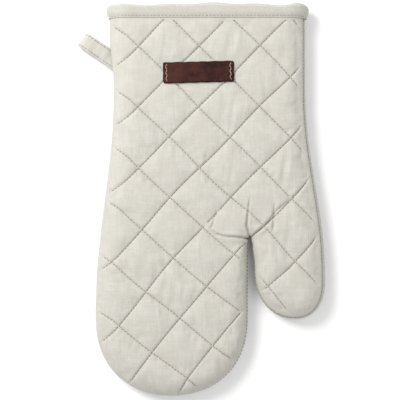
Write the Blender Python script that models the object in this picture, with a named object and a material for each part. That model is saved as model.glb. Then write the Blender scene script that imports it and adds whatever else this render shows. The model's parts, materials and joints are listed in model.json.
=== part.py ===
"""Quilted oven mitt, lying on its back panel with its cuff towards +Y.

Each side is a linen outer, a wadding and a lining, and the two sides are sewn together round the edge.
A folded binding closes the raw edge of the mouth, a leather label is sewn to the front, and a tape loop
leaves the side seam. The layers are parted along the thumb's fold and the fingers' fold, so that each
section is rigid and turns about its fold. All sizes are in metres, and the origin is under the middle of
the whole object.
"""

import copy
import math

import bmesh
import bpy
from mathutils import Vector
from mathutils.geometry import interpolate_bezier

# Plan of the mitt. x runs from the hand's centre line, y from the end of the fingers.
MITT_LENGTH = 0.320
HAND_WIDTH = 0.125
FINGERTIP_DEPTH = 0.064
CUFF_WIDTH = 0.161
CUFF_INSET = 0.0115  # from the hand's little-finger side to the cuff's
WAIST_INSET = 0.0033
WAIST_HEIGHT = 0.254
CROTCH_HEIGHT = 0.1296
CROTCH_RADIUS = 0.0014
THUMB_GAP = 0.0049
THUMB_WIDTH = 0.059
THUMB_TIP_HEIGHT = 0.0624
THUMB_TIP_SHARE = 0.585  # where the tip's end lies across the thumb
THUMB_TIP_INNER_DEPTH = 0.0416
THUMB_TIP_OUTER_DEPTH = 0.0306
TIP_POWER = 2.2  # 2 is an ellipse, and more is squarer

# Thickness of the mitt as it lies, measured from the plane of the side seams
FRONT_HEIGHT = 0.013
BACK_HEIGHT = 0.011
EDGE_ROLL = 0.018  # width over which the sides curl from the seam to the flat middle
SEAM_TILT = math.radians(35)  # how far the seam is rolled under on the left and over on the right
FIT_GAP = 0.0003

# Layers of one wall, from the outside in
OUTER_THICKNESS = 0.0008
WADDING_THICKNESS = 0.0036
LINING_THICKNESS = 0.0006

# Binding round the mouth
BINDING_WIDTH = 0.0115
BINDING_THICKNESS = 0.0008
CUFF_STEP = 0.0024  # how far the back rises at the cuff, to make room for the binding
CUFF_STEP_RUN = 0.010
THREAD = 0.0006
TOPSTITCH_INSET = 0.0012

# Folds: the thumb and the fingers turn this far towards either face
THUMB_FOLD_ANGLE = math.radians(40)
FINGER_FOLD_ANGLE = math.radians(45)
FOLD_CLEARANCE = 0.0004
THUMB_FOLD_DIRECTION = math.radians(46.5)
FINGER_FOLD_DROP = 0.022  # below the crotch

# Leather label
LABEL_LENGTH = 0.0575
LABEL_WIDTH = 0.0170
LABEL_THICKNESS = 0.0016
LABEL_DROP = 0.056  # from the cuff's end to the label's middle
LABEL_SIDE = 0.0730  # from the cuff's little-finger side to the label's middle
LABEL_TURN = math.radians(1.5)
LABEL_STITCH_INSET = 0.0028
LABEL_STITCH_LENGTH = 0.0145

# Hanging loop, a tape folded in half
TAPE_WIDTH = 0.0131
TAPE_THICKNESS = 0.0012
LOOP_REACH = 0.033  # from the seam to the fold, along the tape
LOOP_DROP = 0.0457  # from the cuff's end to where the tape's middle leaves the seam
LOOP_RISE = math.radians(34)
LOOP_HINGE_OUT = 0.0055  # from the seam to the line the loop swings about
LOOP_SWING_ANGLE = math.radians(60)  # towards either face
LOOP_BEND_RADIUS = 0.0050
LOOP_ROOT_OPENING = 0.0008

# Steps along each stretch of the outline, and the rings from the seam to the flat middle
CUFF_STEPS = 2
SIDE_STEPS = 9
TIP_STEPS = 8
SHORT_STEPS = 4
CROTCH_STEPS = 6
RING_SHARES = (0, 0.16, 0.4, 0.7, 1)
CURVE_REACH = 0.4  # of a side's run, from its end to the handle that bends it
BALL_SHARE = 0.95  # of the largest circle that fits in a corner, which the roll may fill
EDGE_SEGMENTS = 2
EDGE_SHARE = 0.25  # of a flat piece's thickness that its rounded edge takes
SHARP_ANGLE = math.radians(40)

WALL = OUTER_THICKNESS + WADDING_THICKNESS + LINING_THICKNESS + 2 * FIT_GAP
SEAM_HEIGHT = BACK_HEIGHT + FIT_GAP / 2
WALL_END = MITT_LENGTH - BINDING_THICKNESS - FIT_GAP
BINDING_START = MITT_LENGTH - BINDING_WIDTH
CUFF_STEP_END = BINDING_START - FIT_GAP - CUFF_STEP_RUN

HAND_LEFT = -HAND_WIDTH / 2
HAND_RIGHT = HAND_WIDTH / 2
CUFF_LEFT = HAND_LEFT + CUFF_INSET
CUFF_RIGHT = CUFF_LEFT + CUFF_WIDTH
CROTCH_X = HAND_RIGHT + CROTCH_RADIUS
THUMB_INNER = HAND_RIGHT + THUMB_GAP
THUMB_OUTER = THUMB_INNER + THUMB_WIDTH
THUMB_TIP_X = THUMB_INNER + THUMB_TIP_SHARE * THUMB_WIDTH
FINGER_FOLD_HEIGHT = CROTCH_HEIGHT - FINGER_FOLD_DROP

LINEN = ("linen", (0.80, 0.78, 0.71), 0.9, 0)
WADDING = ("wadding", (0.93, 0.93, 0.91), 1.0, 0)
LINING = ("lining", (0.86, 0.84, 0.78), 0.9, 0)
LEATHER = ("leather", (0.12, 0.05, 0.035), 0.45, 0)
THREAD_FINISH = ("thread", (0.60, 0.54, 0.44), 0.8, 0)


def clear_scene():
    for obj in list(bpy.data.objects):
        bpy.data.objects.remove(obj)


def material(finish):
    name, colour, roughness, metallic = finish
    made = bpy.data.materials.get(name)
    if made is None:
        made = bpy.data.materials.new(name)
        made.use_nodes = True
        shader = made.node_tree.nodes["Principled BSDF"]
        shader.inputs["Base Color"].default_value = (*colour, 1)
        shader.inputs["Roughness"].default_value = roughness
        shader.inputs["Metallic"].default_value = metallic
    return made


def empty(name, place, parent=None):
    """An empty at a place given in the plan's own coordinates."""
    made = bpy.data.objects.new(name, None)
    bpy.context.scene.collection.objects.link(made)
    made.parent = parent
    made.location = Vector(place) - (parent.matrix_world.translation if parent else Vector())
    bpy.context.view_layer.update()
    return made


def piece(name, mesh, finish, parent):
    """An object whose mesh is in the plan's own coordinates, carried by its body's empty."""
    made = bpy.data.objects.new(name, mesh)
    bpy.context.scene.collection.objects.link(made)
    mesh.materials.clear()
    mesh.materials.append(material(finish))
    made.parent = parent
    made.location = -parent.matrix_world.translation
    return made


def mesh_of(name, points, faces):
    mesh = bpy.data.meshes.new(name)
    mesh.from_pydata(points, [], faces)
    shaped = bmesh.new()
    shaped.from_mesh(mesh)
    bmesh.ops.recalc_face_normals(shaped, faces=shaped.faces)
    shaped.to_mesh(mesh)
    shaped.free()
    return mesh


# The outline


def curve(start, end, steps):
    """A run that leaves and arrives along Y, without its last point."""
    reach = (end[1] - start[1]) * CURVE_REACH
    knots = [
        Vector(start),
        Vector((start[0], start[1] + reach)),
        Vector((end[0], end[1] - reach)),
        Vector(end),
    ]
    return [p.to_2d() for p in interpolate_bezier(*[k.to_3d() for k in knots], steps + 1)][:-1]


def tip_quarter(centre, half_width, depth, first_angle, steps):
    """A quarter of a superellipse, turning towards +X through its lowest point, without its last point."""
    points = []
    for step in range(steps):
        angle = first_angle + math.pi / 2 * step / steps
        across, along = math.cos(angle), math.sin(angle)
        points.append(
            Vector(
                (
                    centre[0] + half_width * math.copysign(abs(across) ** (2 / TIP_POWER), across),
                    centre[1] + depth * math.copysign(abs(along) ** (2 / TIP_POWER), along),
                )
            )
        )
    return points


def cuff_run(side_x, rising):
    """Points up or down one side of the cuff, at the heights where the back's step starts and ends."""
    heights = [WALL_END, BINDING_START, CUFF_STEP_END]
    points = [Vector((side_x, y)) for y in heights]
    return points[::-1] if rising else points


def crotch_arc(steps):
    centre = Vector((CROTCH_X, CROTCH_HEIGHT - CROTCH_RADIUS))
    angles = [math.pi * (1 - step / steps) for step in range(steps)]
    return [centre + CROTCH_RADIUS * Vector((math.cos(a), math.sin(a))) for a in angles]


def outline():
    """The mitt's edge from the mouth's left corner, round the fingers and the thumb, to its right corner."""
    crotch_side = CROTCH_HEIGHT - CROTCH_RADIUS
    thumb_side = THUMB_TIP_HEIGHT + THUMB_TIP_INNER_DEPTH
    thumb_shoulder = THUMB_TIP_HEIGHT + THUMB_TIP_OUTER_DEPTH
    waist = (CUFF_LEFT + WAIST_INSET, WAIST_HEIGHT)
    points = cuff_run(CUFF_LEFT, rising=False)[:-1]
    points += curve((CUFF_LEFT, CUFF_STEP_END), waist, SHORT_STEPS)
    points += curve(waist, (HAND_LEFT, FINGERTIP_DEPTH), SIDE_STEPS)
    for first_angle in (math.pi, 1.5 * math.pi):
        points += tip_quarter((0, FINGERTIP_DEPTH), HAND_WIDTH / 2, FINGERTIP_DEPTH, first_angle, TIP_STEPS)
    points += curve((HAND_RIGHT, FINGERTIP_DEPTH), (HAND_RIGHT, crotch_side), SHORT_STEPS)
    points += crotch_arc(CROTCH_STEPS)
    points += curve((CROTCH_X + CROTCH_RADIUS, crotch_side), (THUMB_INNER, thumb_side), SHORT_STEPS)
    points += tip_quarter(
        (THUMB_TIP_X, thumb_side), THUMB_TIP_X - THUMB_INNER, THUMB_TIP_INNER_DEPTH, math.pi, TIP_STEPS
    )
    points += tip_quarter(
        (THUMB_TIP_X, thumb_shoulder),
        THUMB_OUTER - THUMB_TIP_X,
        THUMB_TIP_OUTER_DEPTH,
        1.5 * math.pi,
        TIP_STEPS,
    )
    points += curve((THUMB_OUTER, thumb_shoulder), (CUFF_RIGHT, WAIST_HEIGHT), SIDE_STEPS)
    points += curve((CUFF_RIGHT, WAIST_HEIGHT), (CUFF_RIGHT, CUFF_STEP_END), CUFF_STEPS)
    return points + cuff_run(CUFF_RIGHT, rising=True)


class Station:
    """A point of the outline, with the way in from it and how the wall curls there."""

    def __init__(self, points, index):
        self.place = points[index]
        before = points[max(index - 1, 0)]
        after = points[min(index + 1, len(points) - 1)]
        along = after - before
        if index in (0, len(points) - 1):
            along = Vector((0, math.copysign(1, along.y)))
        self.inward = Vector((-along.y, along.x)).normalized()
        middle = (HAND_LEFT + THUMB_OUTER) / 2
        self.seam_angle = SEAM_TILT * (self.place.x - middle) / (THUMB_OUTER - middle)
        self.roll = min(EDGE_ROLL, BALL_SHARE * self.largest_ball(points))

    def largest_ball(self, points):
        """Radius of the largest circle that touches the outline here and fits inside it."""
        reaches = ((p - self.place, (p - self.place).dot(self.inward)) for p in points)
        return min((r.length_squared / (2 * depth) for r, depth in reaches if depth > FIT_GAP), default=1)


def back_height(y):
    """Depth of the back below the seams. The cuff is shallower, to make room for the binding."""
    share = (y - CUFF_STEP_END) / CUFF_STEP_RUN
    return BACK_HEIGHT - CUFF_STEP * min(max(share, 0), 1)


def wall_point(station, depth, angle):
    """A point this deep in the wall. Angle 0 is the mitt's very edge, and 90 degrees the front's flat."""
    inset = depth + (1 - math.cos(angle)) * (station.roll - depth)
    height = FRONT_HEIGHT if angle > 0 else back_height(station.place.y)
    place = station.place + inset * station.inward
    return Vector((place.x, place.y, SEAM_HEIGHT + (height - depth) * math.sin(angle)))


# The layers


def ring(stations, side, depth, share):
    """A ring of points this deep in one side, at this share of the way from the seam to the flat."""
    points = []
    for station in stations:
        angle = station.seam_angle + (side * math.pi / 2 - station.seam_angle) * share
        points.append(wall_point(station, depth, angle) + Vector((0, 0, side * FIT_GAP / 2)))
    return points


def surface(stations, side, depth):
    """Rings of points from the seam to the flat middle of one side, this deep under its outside."""
    return [ring(stations, side, depth, share) for share in RING_SHARES]


def layer_mesh(name, stations, side, depth, thickness):
    """One layer of one side, as a closed shell between two depths, open at the mouth and along the seam."""
    rings = surface(stations, side, depth) + surface(stations, side, depth + thickness)
    count, ring_count = len(stations), len(RING_SHARES)
    points = [p for ring in rings for p in ring]

    def at(ring, station):
        return ring * count + station % count

    faces = []
    bands = CUFF_STEPS
    for first in (0, ring_count):
        for ring in range(first, first + ring_count - 1):
            for s in range(count - 1):
                faces.append((at(ring, s), at(ring, s + 1), at(ring + 1, s + 1), at(ring + 1, s)))
        flat = first + ring_count - 1
        for s in range(bands):
            faces.append((at(flat, s), at(flat, s + 1), at(flat, count - 2 - s), at(flat, count - 1 - s)))
        faces.append([at(flat, s) for s in range(bands, count - bands)])
    for s in range(count - 1):
        faces.append((at(0, s), at(0, s + 1), at(ring_count, s + 1), at(ring_count, s)))
    mouth = [at(r, 0) for r in range(ring_count)] + [at(r, count - 1) for r in reversed(range(ring_count))]
    inner = [p + ring_count * count for p in reversed(mouth)]
    faces.append(mouth + inner)
    return mesh_of(name, points, faces)


def fold_cutter(name, start, end, fold_angle):
    """A prism of bow-tie section along a fold, which leaves room for the turn on both faces."""
    along = (end - start).normalized()
    across = Vector((along.y, -along.x))
    tall = FRONT_HEIGHT + BACK_HEIGHT
    wide = FOLD_CLEARANCE + tall * math.tan(fold_angle / 2)
    left = [(-wide, tall), (-FOLD_CLEARANCE, 0), (-wide, -tall)]
    section = left + [(-side, up) for side, up in reversed(left)]
    points = [
        (*(end_point + side * across), SEAM_HEIGHT + up) for end_point in (start, end) for side, up in section
    ]
    count = len(section)
    faces = [list(range(count)), list(range(count, 2 * count))]
    faces += [(i, (i + 1) % count, count + (i + 1) % count, count + i) for i in range(count)]
    cutter = bpy.data.objects.new(name, mesh_of(name, points, faces))
    bpy.context.scene.collection.objects.link(cutter)
    cutter.hide_render = True
    cutter.display_type = "WIRE"
    return cutter


def thumb_fold_line():
    start = Vector((CROTCH_X, CROTCH_HEIGHT))
    along = Vector((math.cos(THUMB_FOLD_DIRECTION), math.sin(THUMB_FOLD_DIRECTION)))
    return start, along


def section_of(mesh):
    """The section of the mitt that a cut piece of a layer belongs to, by its middle."""
    corners = [v.co.to_2d() for v in mesh.vertices]
    middle = sum(corners, Vector((0, 0))) / len(corners)
    start, along = thumb_fold_line()
    beyond_thumb_fold = (middle - start).x * along.y - (middle - start).y * along.x > 0
    if beyond_thumb_fold and middle.x > HAND_RIGHT:
        return "thumb"
    return "fingers" if middle.y < FINGER_FOLD_HEIGHT else "hand"


def add_layer(name, stations, side, depth, thickness, finish, cutters, bodies):
    """Makes one layer, parts it at both folds and gives each part to its body."""
    whole = bpy.data.objects.new(name, layer_mesh(name, stations, side, depth, thickness))
    bpy.context.scene.collection.objects.link(whole)
    for cutter in cutters:
        cut = whole.modifiers.new(cutter.name, "BOOLEAN")
        cut.object = cutter
        cut.operation = "DIFFERENCE"
        cut.solver = "EXACT"
    bpy.context.view_layer.objects.active = whole
    whole.select_set(True)
    for cutter in cutters:
        bpy.ops.object.modifier_apply(modifier=cutter.name)
    bpy.ops.mesh.separate(type="LOOSE")
    for part in list(bpy.context.selected_objects):
        mesh = part.data
        bpy.data.objects.remove(part)
        section = section_of(mesh)
        made = piece(f"{name}_{section}", mesh, finish, bodies[section])
        mesh.name = made.name
        mesh.shade_smooth()
        mesh.set_sharp_from_angle(angle=SHARP_ANGLE)


# The binding, its stitching and the label


def mouth_loop(mouth, y, depth):
    """The cuff's closed cross-section at y, this deep in the wall: over the front and under the back."""
    front = surface(mouth, 1, depth)
    back = surface(mouth, -1, depth)
    loop = [left for left, _ in front] + [right for _, right in reversed(front)]
    loop += [right for _, right in back] + [left for left, _ in reversed(back)]
    for point in loop:
        point.y = y
    return loop


def ring_mesh(name, loops):
    """A closed band: loops of points joined each to the next, and the last to the first."""
    count = len(loops[0])
    points = [p for loop in loops for p in loop]
    faces = []
    for i in range(len(loops)):
        j = (i + 1) % len(loops)
        for k in range(count):
            m = (k + 1) % count
            faces.append((i * count + k, i * count + m, j * count + m, j * count + k))
    return mesh_of(name, points, faces)


def add_binding(body, mouth):
    outside = -FIT_GAP
    inside = WALL + FIT_GAP
    profile = [
        (BINDING_START, outside),
        (BINDING_START, outside - BINDING_THICKNESS),
        (MITT_LENGTH, outside - BINDING_THICKNESS),
        (MITT_LENGTH, inside + BINDING_THICKNESS),
        (BINDING_START, inside + BINDING_THICKNESS),
        (BINDING_START, inside),
        (MITT_LENGTH - BINDING_THICKNESS, inside),
        (MITT_LENGTH - BINDING_THICKNESS, outside),
    ]
    mesh = ring_mesh("cuff_binding", [mouth_loop(mouth, y, depth) for y, depth in profile])
    piece("cuff_binding", mesh, LINEN, body)


def add_topstitch(body, mouth):
    """The thread that holds the binding, round the mouth near the binding's lower edge."""
    y = BINDING_START + TOPSTITCH_INSET
    depth = -2 * FIT_GAP - BINDING_THICKNESS - THREAD / 2
    section = [(math.cos(a), math.sin(a)) for a in (math.tau * i / SHORT_STEPS for i in range(SHORT_STEPS))]
    loops = [mouth_loop(mouth, y + THREAD / 2 * up, depth - THREAD / 2 * out) for up, out in section]
    piece("binding_topstitch", ring_mesh("binding_topstitch", loops), THREAD_FINISH, body)


def block(size):
    """A box with its upper edges rounded, standing on z = 0."""
    rounding = size[2] * EDGE_SHARE
    shaped = bmesh.new()
    bmesh.ops.create_cube(shaped, size=1)
    bmesh.ops.scale(shaped, vec=size, verts=shaped.verts)
    bmesh.ops.translate(shaped, vec=(0, 0, size[2] / 2), verts=shaped.verts)
    top = [e for e in shaped.edges if all(v.co.z > 0 for v in e.verts)]
    bmesh.ops.bevel(shaped, geom=top, offset=rounding, segments=EDGE_SEGMENTS, profile=0.5, affect="EDGES")
    mesh = bpy.data.meshes.new("block")
    shaped.to_mesh(mesh)
    shaped.free()
    return mesh


def add_label(body):
    face = SEAM_HEIGHT + FRONT_HEIGHT + FIT_GAP / 2
    middle = Vector((CUFF_LEFT + LABEL_SIDE, MITT_LENGTH - LABEL_DROP, face + FIT_GAP))
    label = piece("leather_label", block((LABEL_LENGTH, LABEL_WIDTH, LABEL_THICKNESS)), LEATHER, body)
    label.location += middle
    label.rotation_euler.z = LABEL_TURN
    along = Vector((math.cos(LABEL_TURN), math.sin(LABEL_TURN), 0))
    reach = LABEL_LENGTH / 2 - LABEL_STITCH_INSET
    for side, sign in (("left", -1), ("right", 1)):
        size = (THREAD, LABEL_STITCH_LENGTH, THREAD)
        stitch = piece(f"label_stitch_{side}", block(size), THREAD_FINISH, body)
        stitch.location += middle + sign * reach * along + Vector((0, 0, LABEL_THICKNESS + FIT_GAP))
        stitch.rotation_euler.z = LABEL_TURN


# The hanging loop


def tape_profile(depth):
    """Side view of the folded tape, this deep in it: along and up, from one end round the fold."""
    radius = LOOP_BEND_RADIUS - depth
    half_root = LOOP_ROOT_OPENING / 2 + TAPE_THICKNESS - depth
    bend_at = LOOP_REACH - LOOP_BEND_RADIUS
    bend = [math.pi * (step / (2 * SHORT_STEPS) - 0.5) for step in range(2 * SHORT_STEPS + 1)]
    root = -TAPE_WIDTH
    return (
        [(root, -half_root), (0, -half_root)]
        + [(bend_at + radius * math.cos(a), radius * math.sin(a)) for a in bend]
        + [(0, half_root), (root, half_root)]
    )


def tape_mesh(name, seam):
    """The folded tape, leaving the seam at an angle and running on past it into the mitt."""
    along = Vector((-math.cos(LOOP_RISE), math.sin(LOOP_RISE), 0))
    across = Vector((along.y, -along.x, 0))
    outer = tape_profile(0)
    section = outer + tape_profile(TAPE_THICKNESS)[::-1]
    points = []
    for side in (-TAPE_WIDTH / 2, TAPE_WIDTH / 2):
        points += [seam + across * side + along * a + Vector((0, 0, up)) for a, up in section]
    count, half = len(section), len(outer)
    faces = [(i, (i + 1) % count, count + (i + 1) % count, count + i) for i in range(count)]
    for first in (0, count):
        last = first + count - 1
        faces += [(first + i, first + i + 1, last - i - 1, last - i) for i in range(half - 1)]
    return mesh_of(name, points, faces)


def cut_for_swing(mesh, hinge):
    """Cuts the tape off at the line it swings about, with its end bevelled so that it can turn either way."""
    shaped = bmesh.new()
    shaped.from_mesh(mesh)
    edge = hinge - Vector((FOLD_CLEARANCE, 0, 0))
    for half_angle in (-LOOP_SWING_ANGLE / 2, LOOP_SWING_ANGLE / 2):
        everything = shaped.verts[:] + shaped.edges[:] + shaped.faces[:]
        away = (math.cos(half_angle), 0, math.sin(half_angle))
        bmesh.ops.bisect_plane(shaped, geom=everything, plane_co=edge, plane_no=away, clear_outer=True)
        bmesh.ops.holes_fill(shaped, edges=[e for e in shaped.edges if e.is_boundary])
    bmesh.ops.recalc_face_normals(shaped, faces=shaped.faces)
    shaped.to_mesh(mesh)
    shaped.free()


def left_station(stations, y):
    """The station of the left side at y, between two of the outline's own."""
    for upper, lower in zip(stations, stations[1:]):
        if lower.place.y <= y < upper.place.y:
            share = (upper.place.y - y) / (upper.place.y - lower.place.y)
            between = copy.copy(upper)
            between.place = upper.place.lerp(lower.place, share)
            return between
    raise ValueError("the loop doesn't reach the mitt's side")


def root_mesh(name, stations, hinge):
    """The tape's sewn end: a strip between the line that the loop swings about and the wall it is sewn to."""
    half_height = LOOP_ROOT_OPENING / 2 + TAPE_THICKNESS
    half_length = TAPE_WIDTH / 2 / math.cos(LOOP_RISE)
    bevel = half_height * math.tan(LOOP_SWING_ANGLE / 2)
    outer_end = [(bevel, -half_height), (0, 0), (bevel, half_height)]
    points = []
    for y in (hinge.y - half_length, hinge.y + half_length):
        station = left_station(stations, y)
        tilts = [math.asin(up / BACK_HEIGHT) for up in (half_height, 0, -half_height)]
        points += [Vector((hinge.x + FOLD_CLEARANCE + out, y, hinge.z + up)) for out, up in outer_end]
        points += [wall_point(station, -2 * FIT_GAP, station.seam_angle + tilt) for tilt in tilts]
    count = len(points) // 2
    faces = [list(range(count)), list(range(count, 2 * count))]
    faces += [(i, (i + 1) % count, count + (i + 1) % count, count + i) for i in range(count)]
    return mesh_of(name, points, faces)


def add_loop(bodies, stations, seam, hinge):
    """The tape's loop, which swings, and its root, which the side seam holds."""
    loop = tape_mesh("hanging_loop", seam)
    cut_for_swing(loop, hinge)
    piece("hanging_loop", loop, LINEN, bodies["loop"])
    piece("hanging_loop_root", root_mesh("hanging_loop_root", stations, hinge), LINEN, bodies["hand"])


def stand_on_origin(root):
    """Moves the whole object so that the origin is under the middle of its box."""
    bpy.context.view_layer.update()
    solids = [o for o in bpy.data.objects if o.type == "MESH" and not o.hide_render]
    corners = [o.matrix_world @ v.co for o in solids for v in o.data.vertices]
    low = Vector([min(c[axis] for c in corners) for axis in range(3)])
    high = Vector([max(c[axis] for c in corners) for axis in range(3)])
    root.location -= Vector(((low.x + high.x) / 2, (low.y + high.y) / 2, low.z))


def main():
    clear_scene()
    points = outline()
    stations = [Station(points, i) for i in range(len(points))]
    fold_start, fold_along = thumb_fold_line()
    mouth = [stations[0], stations[-1]]
    across_thumb = 2 * THUMB_WIDTH * fold_along
    root_station = left_station(stations, MITT_LENGTH - LOOP_DROP)
    seam = wall_point(root_station, 0, root_station.seam_angle)
    hinge = seam - Vector((LOOP_HINGE_OUT, 0, 0))

    hand = empty("hand", (0, 0, 0))
    bodies = {
        "hand": hand,
        "fingers": empty("fingers", (0, FINGER_FOLD_HEIGHT, SEAM_HEIGHT), hand),
        "thumb": empty("thumb", (*fold_start, SEAM_HEIGHT), hand),
        "loop": empty("loop", hinge, hand),
    }
    cutters = [
        fold_cutter(
            "thumb_fold_cutter",
            fold_start - CROTCH_RADIUS * fold_along,
            fold_start + across_thumb,
            THUMB_FOLD_ANGLE,
        ),
        fold_cutter(
            "finger_fold_cutter",
            Vector((HAND_LEFT - EDGE_ROLL, FINGER_FOLD_HEIGHT)),
            Vector((HAND_RIGHT + CROTCH_RADIUS, FINGER_FOLD_HEIGHT)),
            FINGER_FOLD_ANGLE,
        ),
    ]
    for side_name, side in (("front", 1), ("back", -1)):
        depth = 0
        for layer, thickness, finish in (
            ("outer", OUTER_THICKNESS, LINEN),
            ("wadding", WADDING_THICKNESS, WADDING),
            ("lining", LINING_THICKNESS, LINING),
        ):
            add_layer(f"{side_name}_{layer}", stations, side, depth, thickness, finish, cutters, bodies)
            depth += thickness + FIT_GAP
    add_binding(hand, mouth)
    add_topstitch(hand, mouth)
    add_label(hand)
    add_loop(bodies, stations, seam, hinge)
    stand_on_origin(hand)


main()
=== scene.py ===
"""Looks of a quilted linen oven mitt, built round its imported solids.

Each side is a quilted panel: a linen outer, a wadding and a lining, sewn through in diamonds. The panels
are laid out in the flat, puffed up by a cloth simulation that holds the sewn lines down, and rolled over at
the mitt's edge. Lengths are in metres. x runs across the mitt, and y from the finger ends to the cuff.
"""

import json
import math

import bmesh
import bpy
import numpy as np
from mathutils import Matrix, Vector
from mathutils.geometry import delaunay_2d_cdt, interpolate_bezier


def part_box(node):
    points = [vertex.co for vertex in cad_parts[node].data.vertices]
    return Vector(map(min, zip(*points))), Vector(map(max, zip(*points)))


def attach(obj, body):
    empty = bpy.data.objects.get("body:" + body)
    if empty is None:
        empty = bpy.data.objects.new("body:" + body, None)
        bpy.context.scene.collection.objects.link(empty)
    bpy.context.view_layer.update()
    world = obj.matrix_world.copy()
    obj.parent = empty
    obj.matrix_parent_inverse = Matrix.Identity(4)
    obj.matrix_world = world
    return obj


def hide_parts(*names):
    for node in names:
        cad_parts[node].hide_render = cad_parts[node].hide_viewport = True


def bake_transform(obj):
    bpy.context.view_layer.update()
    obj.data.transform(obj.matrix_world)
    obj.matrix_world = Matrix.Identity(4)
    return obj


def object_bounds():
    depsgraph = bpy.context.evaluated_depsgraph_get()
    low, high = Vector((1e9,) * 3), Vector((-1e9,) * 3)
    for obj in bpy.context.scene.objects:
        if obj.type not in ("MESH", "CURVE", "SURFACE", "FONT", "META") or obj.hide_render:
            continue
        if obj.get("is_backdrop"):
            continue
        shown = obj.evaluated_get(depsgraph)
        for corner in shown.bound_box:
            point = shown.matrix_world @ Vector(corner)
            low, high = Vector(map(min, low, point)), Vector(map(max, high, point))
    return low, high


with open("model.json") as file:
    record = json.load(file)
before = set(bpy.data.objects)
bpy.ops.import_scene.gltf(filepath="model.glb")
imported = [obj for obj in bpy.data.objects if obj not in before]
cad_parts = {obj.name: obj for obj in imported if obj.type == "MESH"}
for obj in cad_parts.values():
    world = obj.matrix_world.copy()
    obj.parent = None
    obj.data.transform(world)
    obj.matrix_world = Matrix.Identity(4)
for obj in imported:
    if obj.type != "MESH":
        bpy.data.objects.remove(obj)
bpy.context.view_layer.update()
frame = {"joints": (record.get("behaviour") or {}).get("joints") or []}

bl_info = {
    "name": "Quilted oven mitt",
    "version": (1, 0, 0),
    "blender": (4, 5, 0),
    "location": "3D View > Sidebar > Oven mitt",
    "description": "Builds a quilted linen oven mitt with a leather label and a hanging loop",
    "category": "Object",
}

JOINTS = {joint["name"]: joint for joint in frame["joints"]}
CROTCH = np.array(JOINTS["thumb_fold"]["pos_m"][:2])
SEAM_HEIGHT = JOINTS["thumb_fold"]["pos_m"][2]
CENTRE_LINE = JOINTS["finger_fold"]["pos_m"][0]
LOOP_HINGE = Vector(JOINTS["loop_swing"]["pos_m"])
BINDING_LOW, BINDING_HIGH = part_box("cuff_binding")
LABEL_LOW, LABEL_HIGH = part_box("leather_label")
FINGER_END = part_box("front_outer_fingers")[0].y
FRONT_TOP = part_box("front_outer_hand")[1].z
FRONT, BACK = 1, -1


def length(name, default, description):
    return bpy.props.FloatProperty(
        name=name, description=description, default=default, min=0, unit="LENGTH", precision=4
    )


def tilt(name, degrees, description):
    return bpy.props.FloatProperty(
        name=name, description=description, default=math.radians(degrees), subtype="ANGLE"
    )


def share(name, default, description):
    return bpy.props.FloatProperty(name=name, description=description, default=default, min=0)


def colour(name, default, description):
    return bpy.props.FloatVectorProperty(
        name=name, description=description, default=default, subtype="COLOR", size=3, min=0, max=1
    )


class MittShape(bpy.types.PropertyGroup):
    """Plan and thickness of the mitt."""

    hand_width: length("Hand width", 0.125, "Across the four fingers")
    fingertip_depth: length("Fingertip depth", 0.064, "From the fingers' end to their straight sides")
    cuff_width: length("Cuff width", 0.161, "Across the cuff")
    cuff_inset: length("Cuff inset", 0.0115, "From the hand's little-finger side in to the cuff's")
    waist_inset: length("Waist inset", 0.0033, "How far the side draws in below the cuff")
    waist_height: length("Waist height", 0.254, "From the fingers' end to the waist")
    cuff_straight: length("Cuff straight", 0.298, "From the fingers' end to the cuff's straight sides")
    crotch_radius: length("Crotch radius", 0.0014, "Radius of the turn between hand and thumb")
    thumb_gap: length("Thumb gap", 0.0049, "Between the hand's side and the thumb's")
    thumb_width: length("Thumb width", 0.059, "Across the thumb")
    thumb_tip_height: length("Thumb tip height", 0.0624, "From the fingers' end to the thumb's end")
    thumb_tip_share: share("Thumb tip place", 0.585, "Where the thumb's end lies across it")
    thumb_inner_depth: length("Thumb inner depth", 0.0416, "Depth of the thumb tip's inner curve")
    thumb_outer_depth: length("Thumb outer depth", 0.0306, "Depth of the thumb tip's outer curve")
    tip_power: share("Tip squareness", 2.2, "2 is an ellipse, and more is squarer")
    front_height: length("Front height", 0.013, "From the side seams up to the front's flat")
    back_height: length("Back height", 0.011, "From the side seams down to the back's flat")
    cuff_step: length("Cuff step", 0.0024, "How far the back rises at the cuff, for the binding")
    cuff_step_run: length("Cuff step run", 0.010, "Length over which the back rises at the cuff")
    edge_roll: length("Edge roll", 0.018, "Width over which the sides curl from the seam to the flat")
    crotch_roll: length("Crotch roll", 0.0085, "Width over which the sides curl beside the crotch")
    seam_tilt: tilt("Seam tilt", 35, "How far the seam is rolled under on the left, and over on the right")
    outer: length("Outer thickness", 0.0008, "Thickness of the outer linen")
    wadding: length("Wadding thickness", 0.0036, "Thickness of the wadding")
    lining: length("Lining thickness", 0.0006, "Thickness of the lining")
    fit_gap: length("Fit gap", 0.0003, "Clearance between layers")


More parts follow.
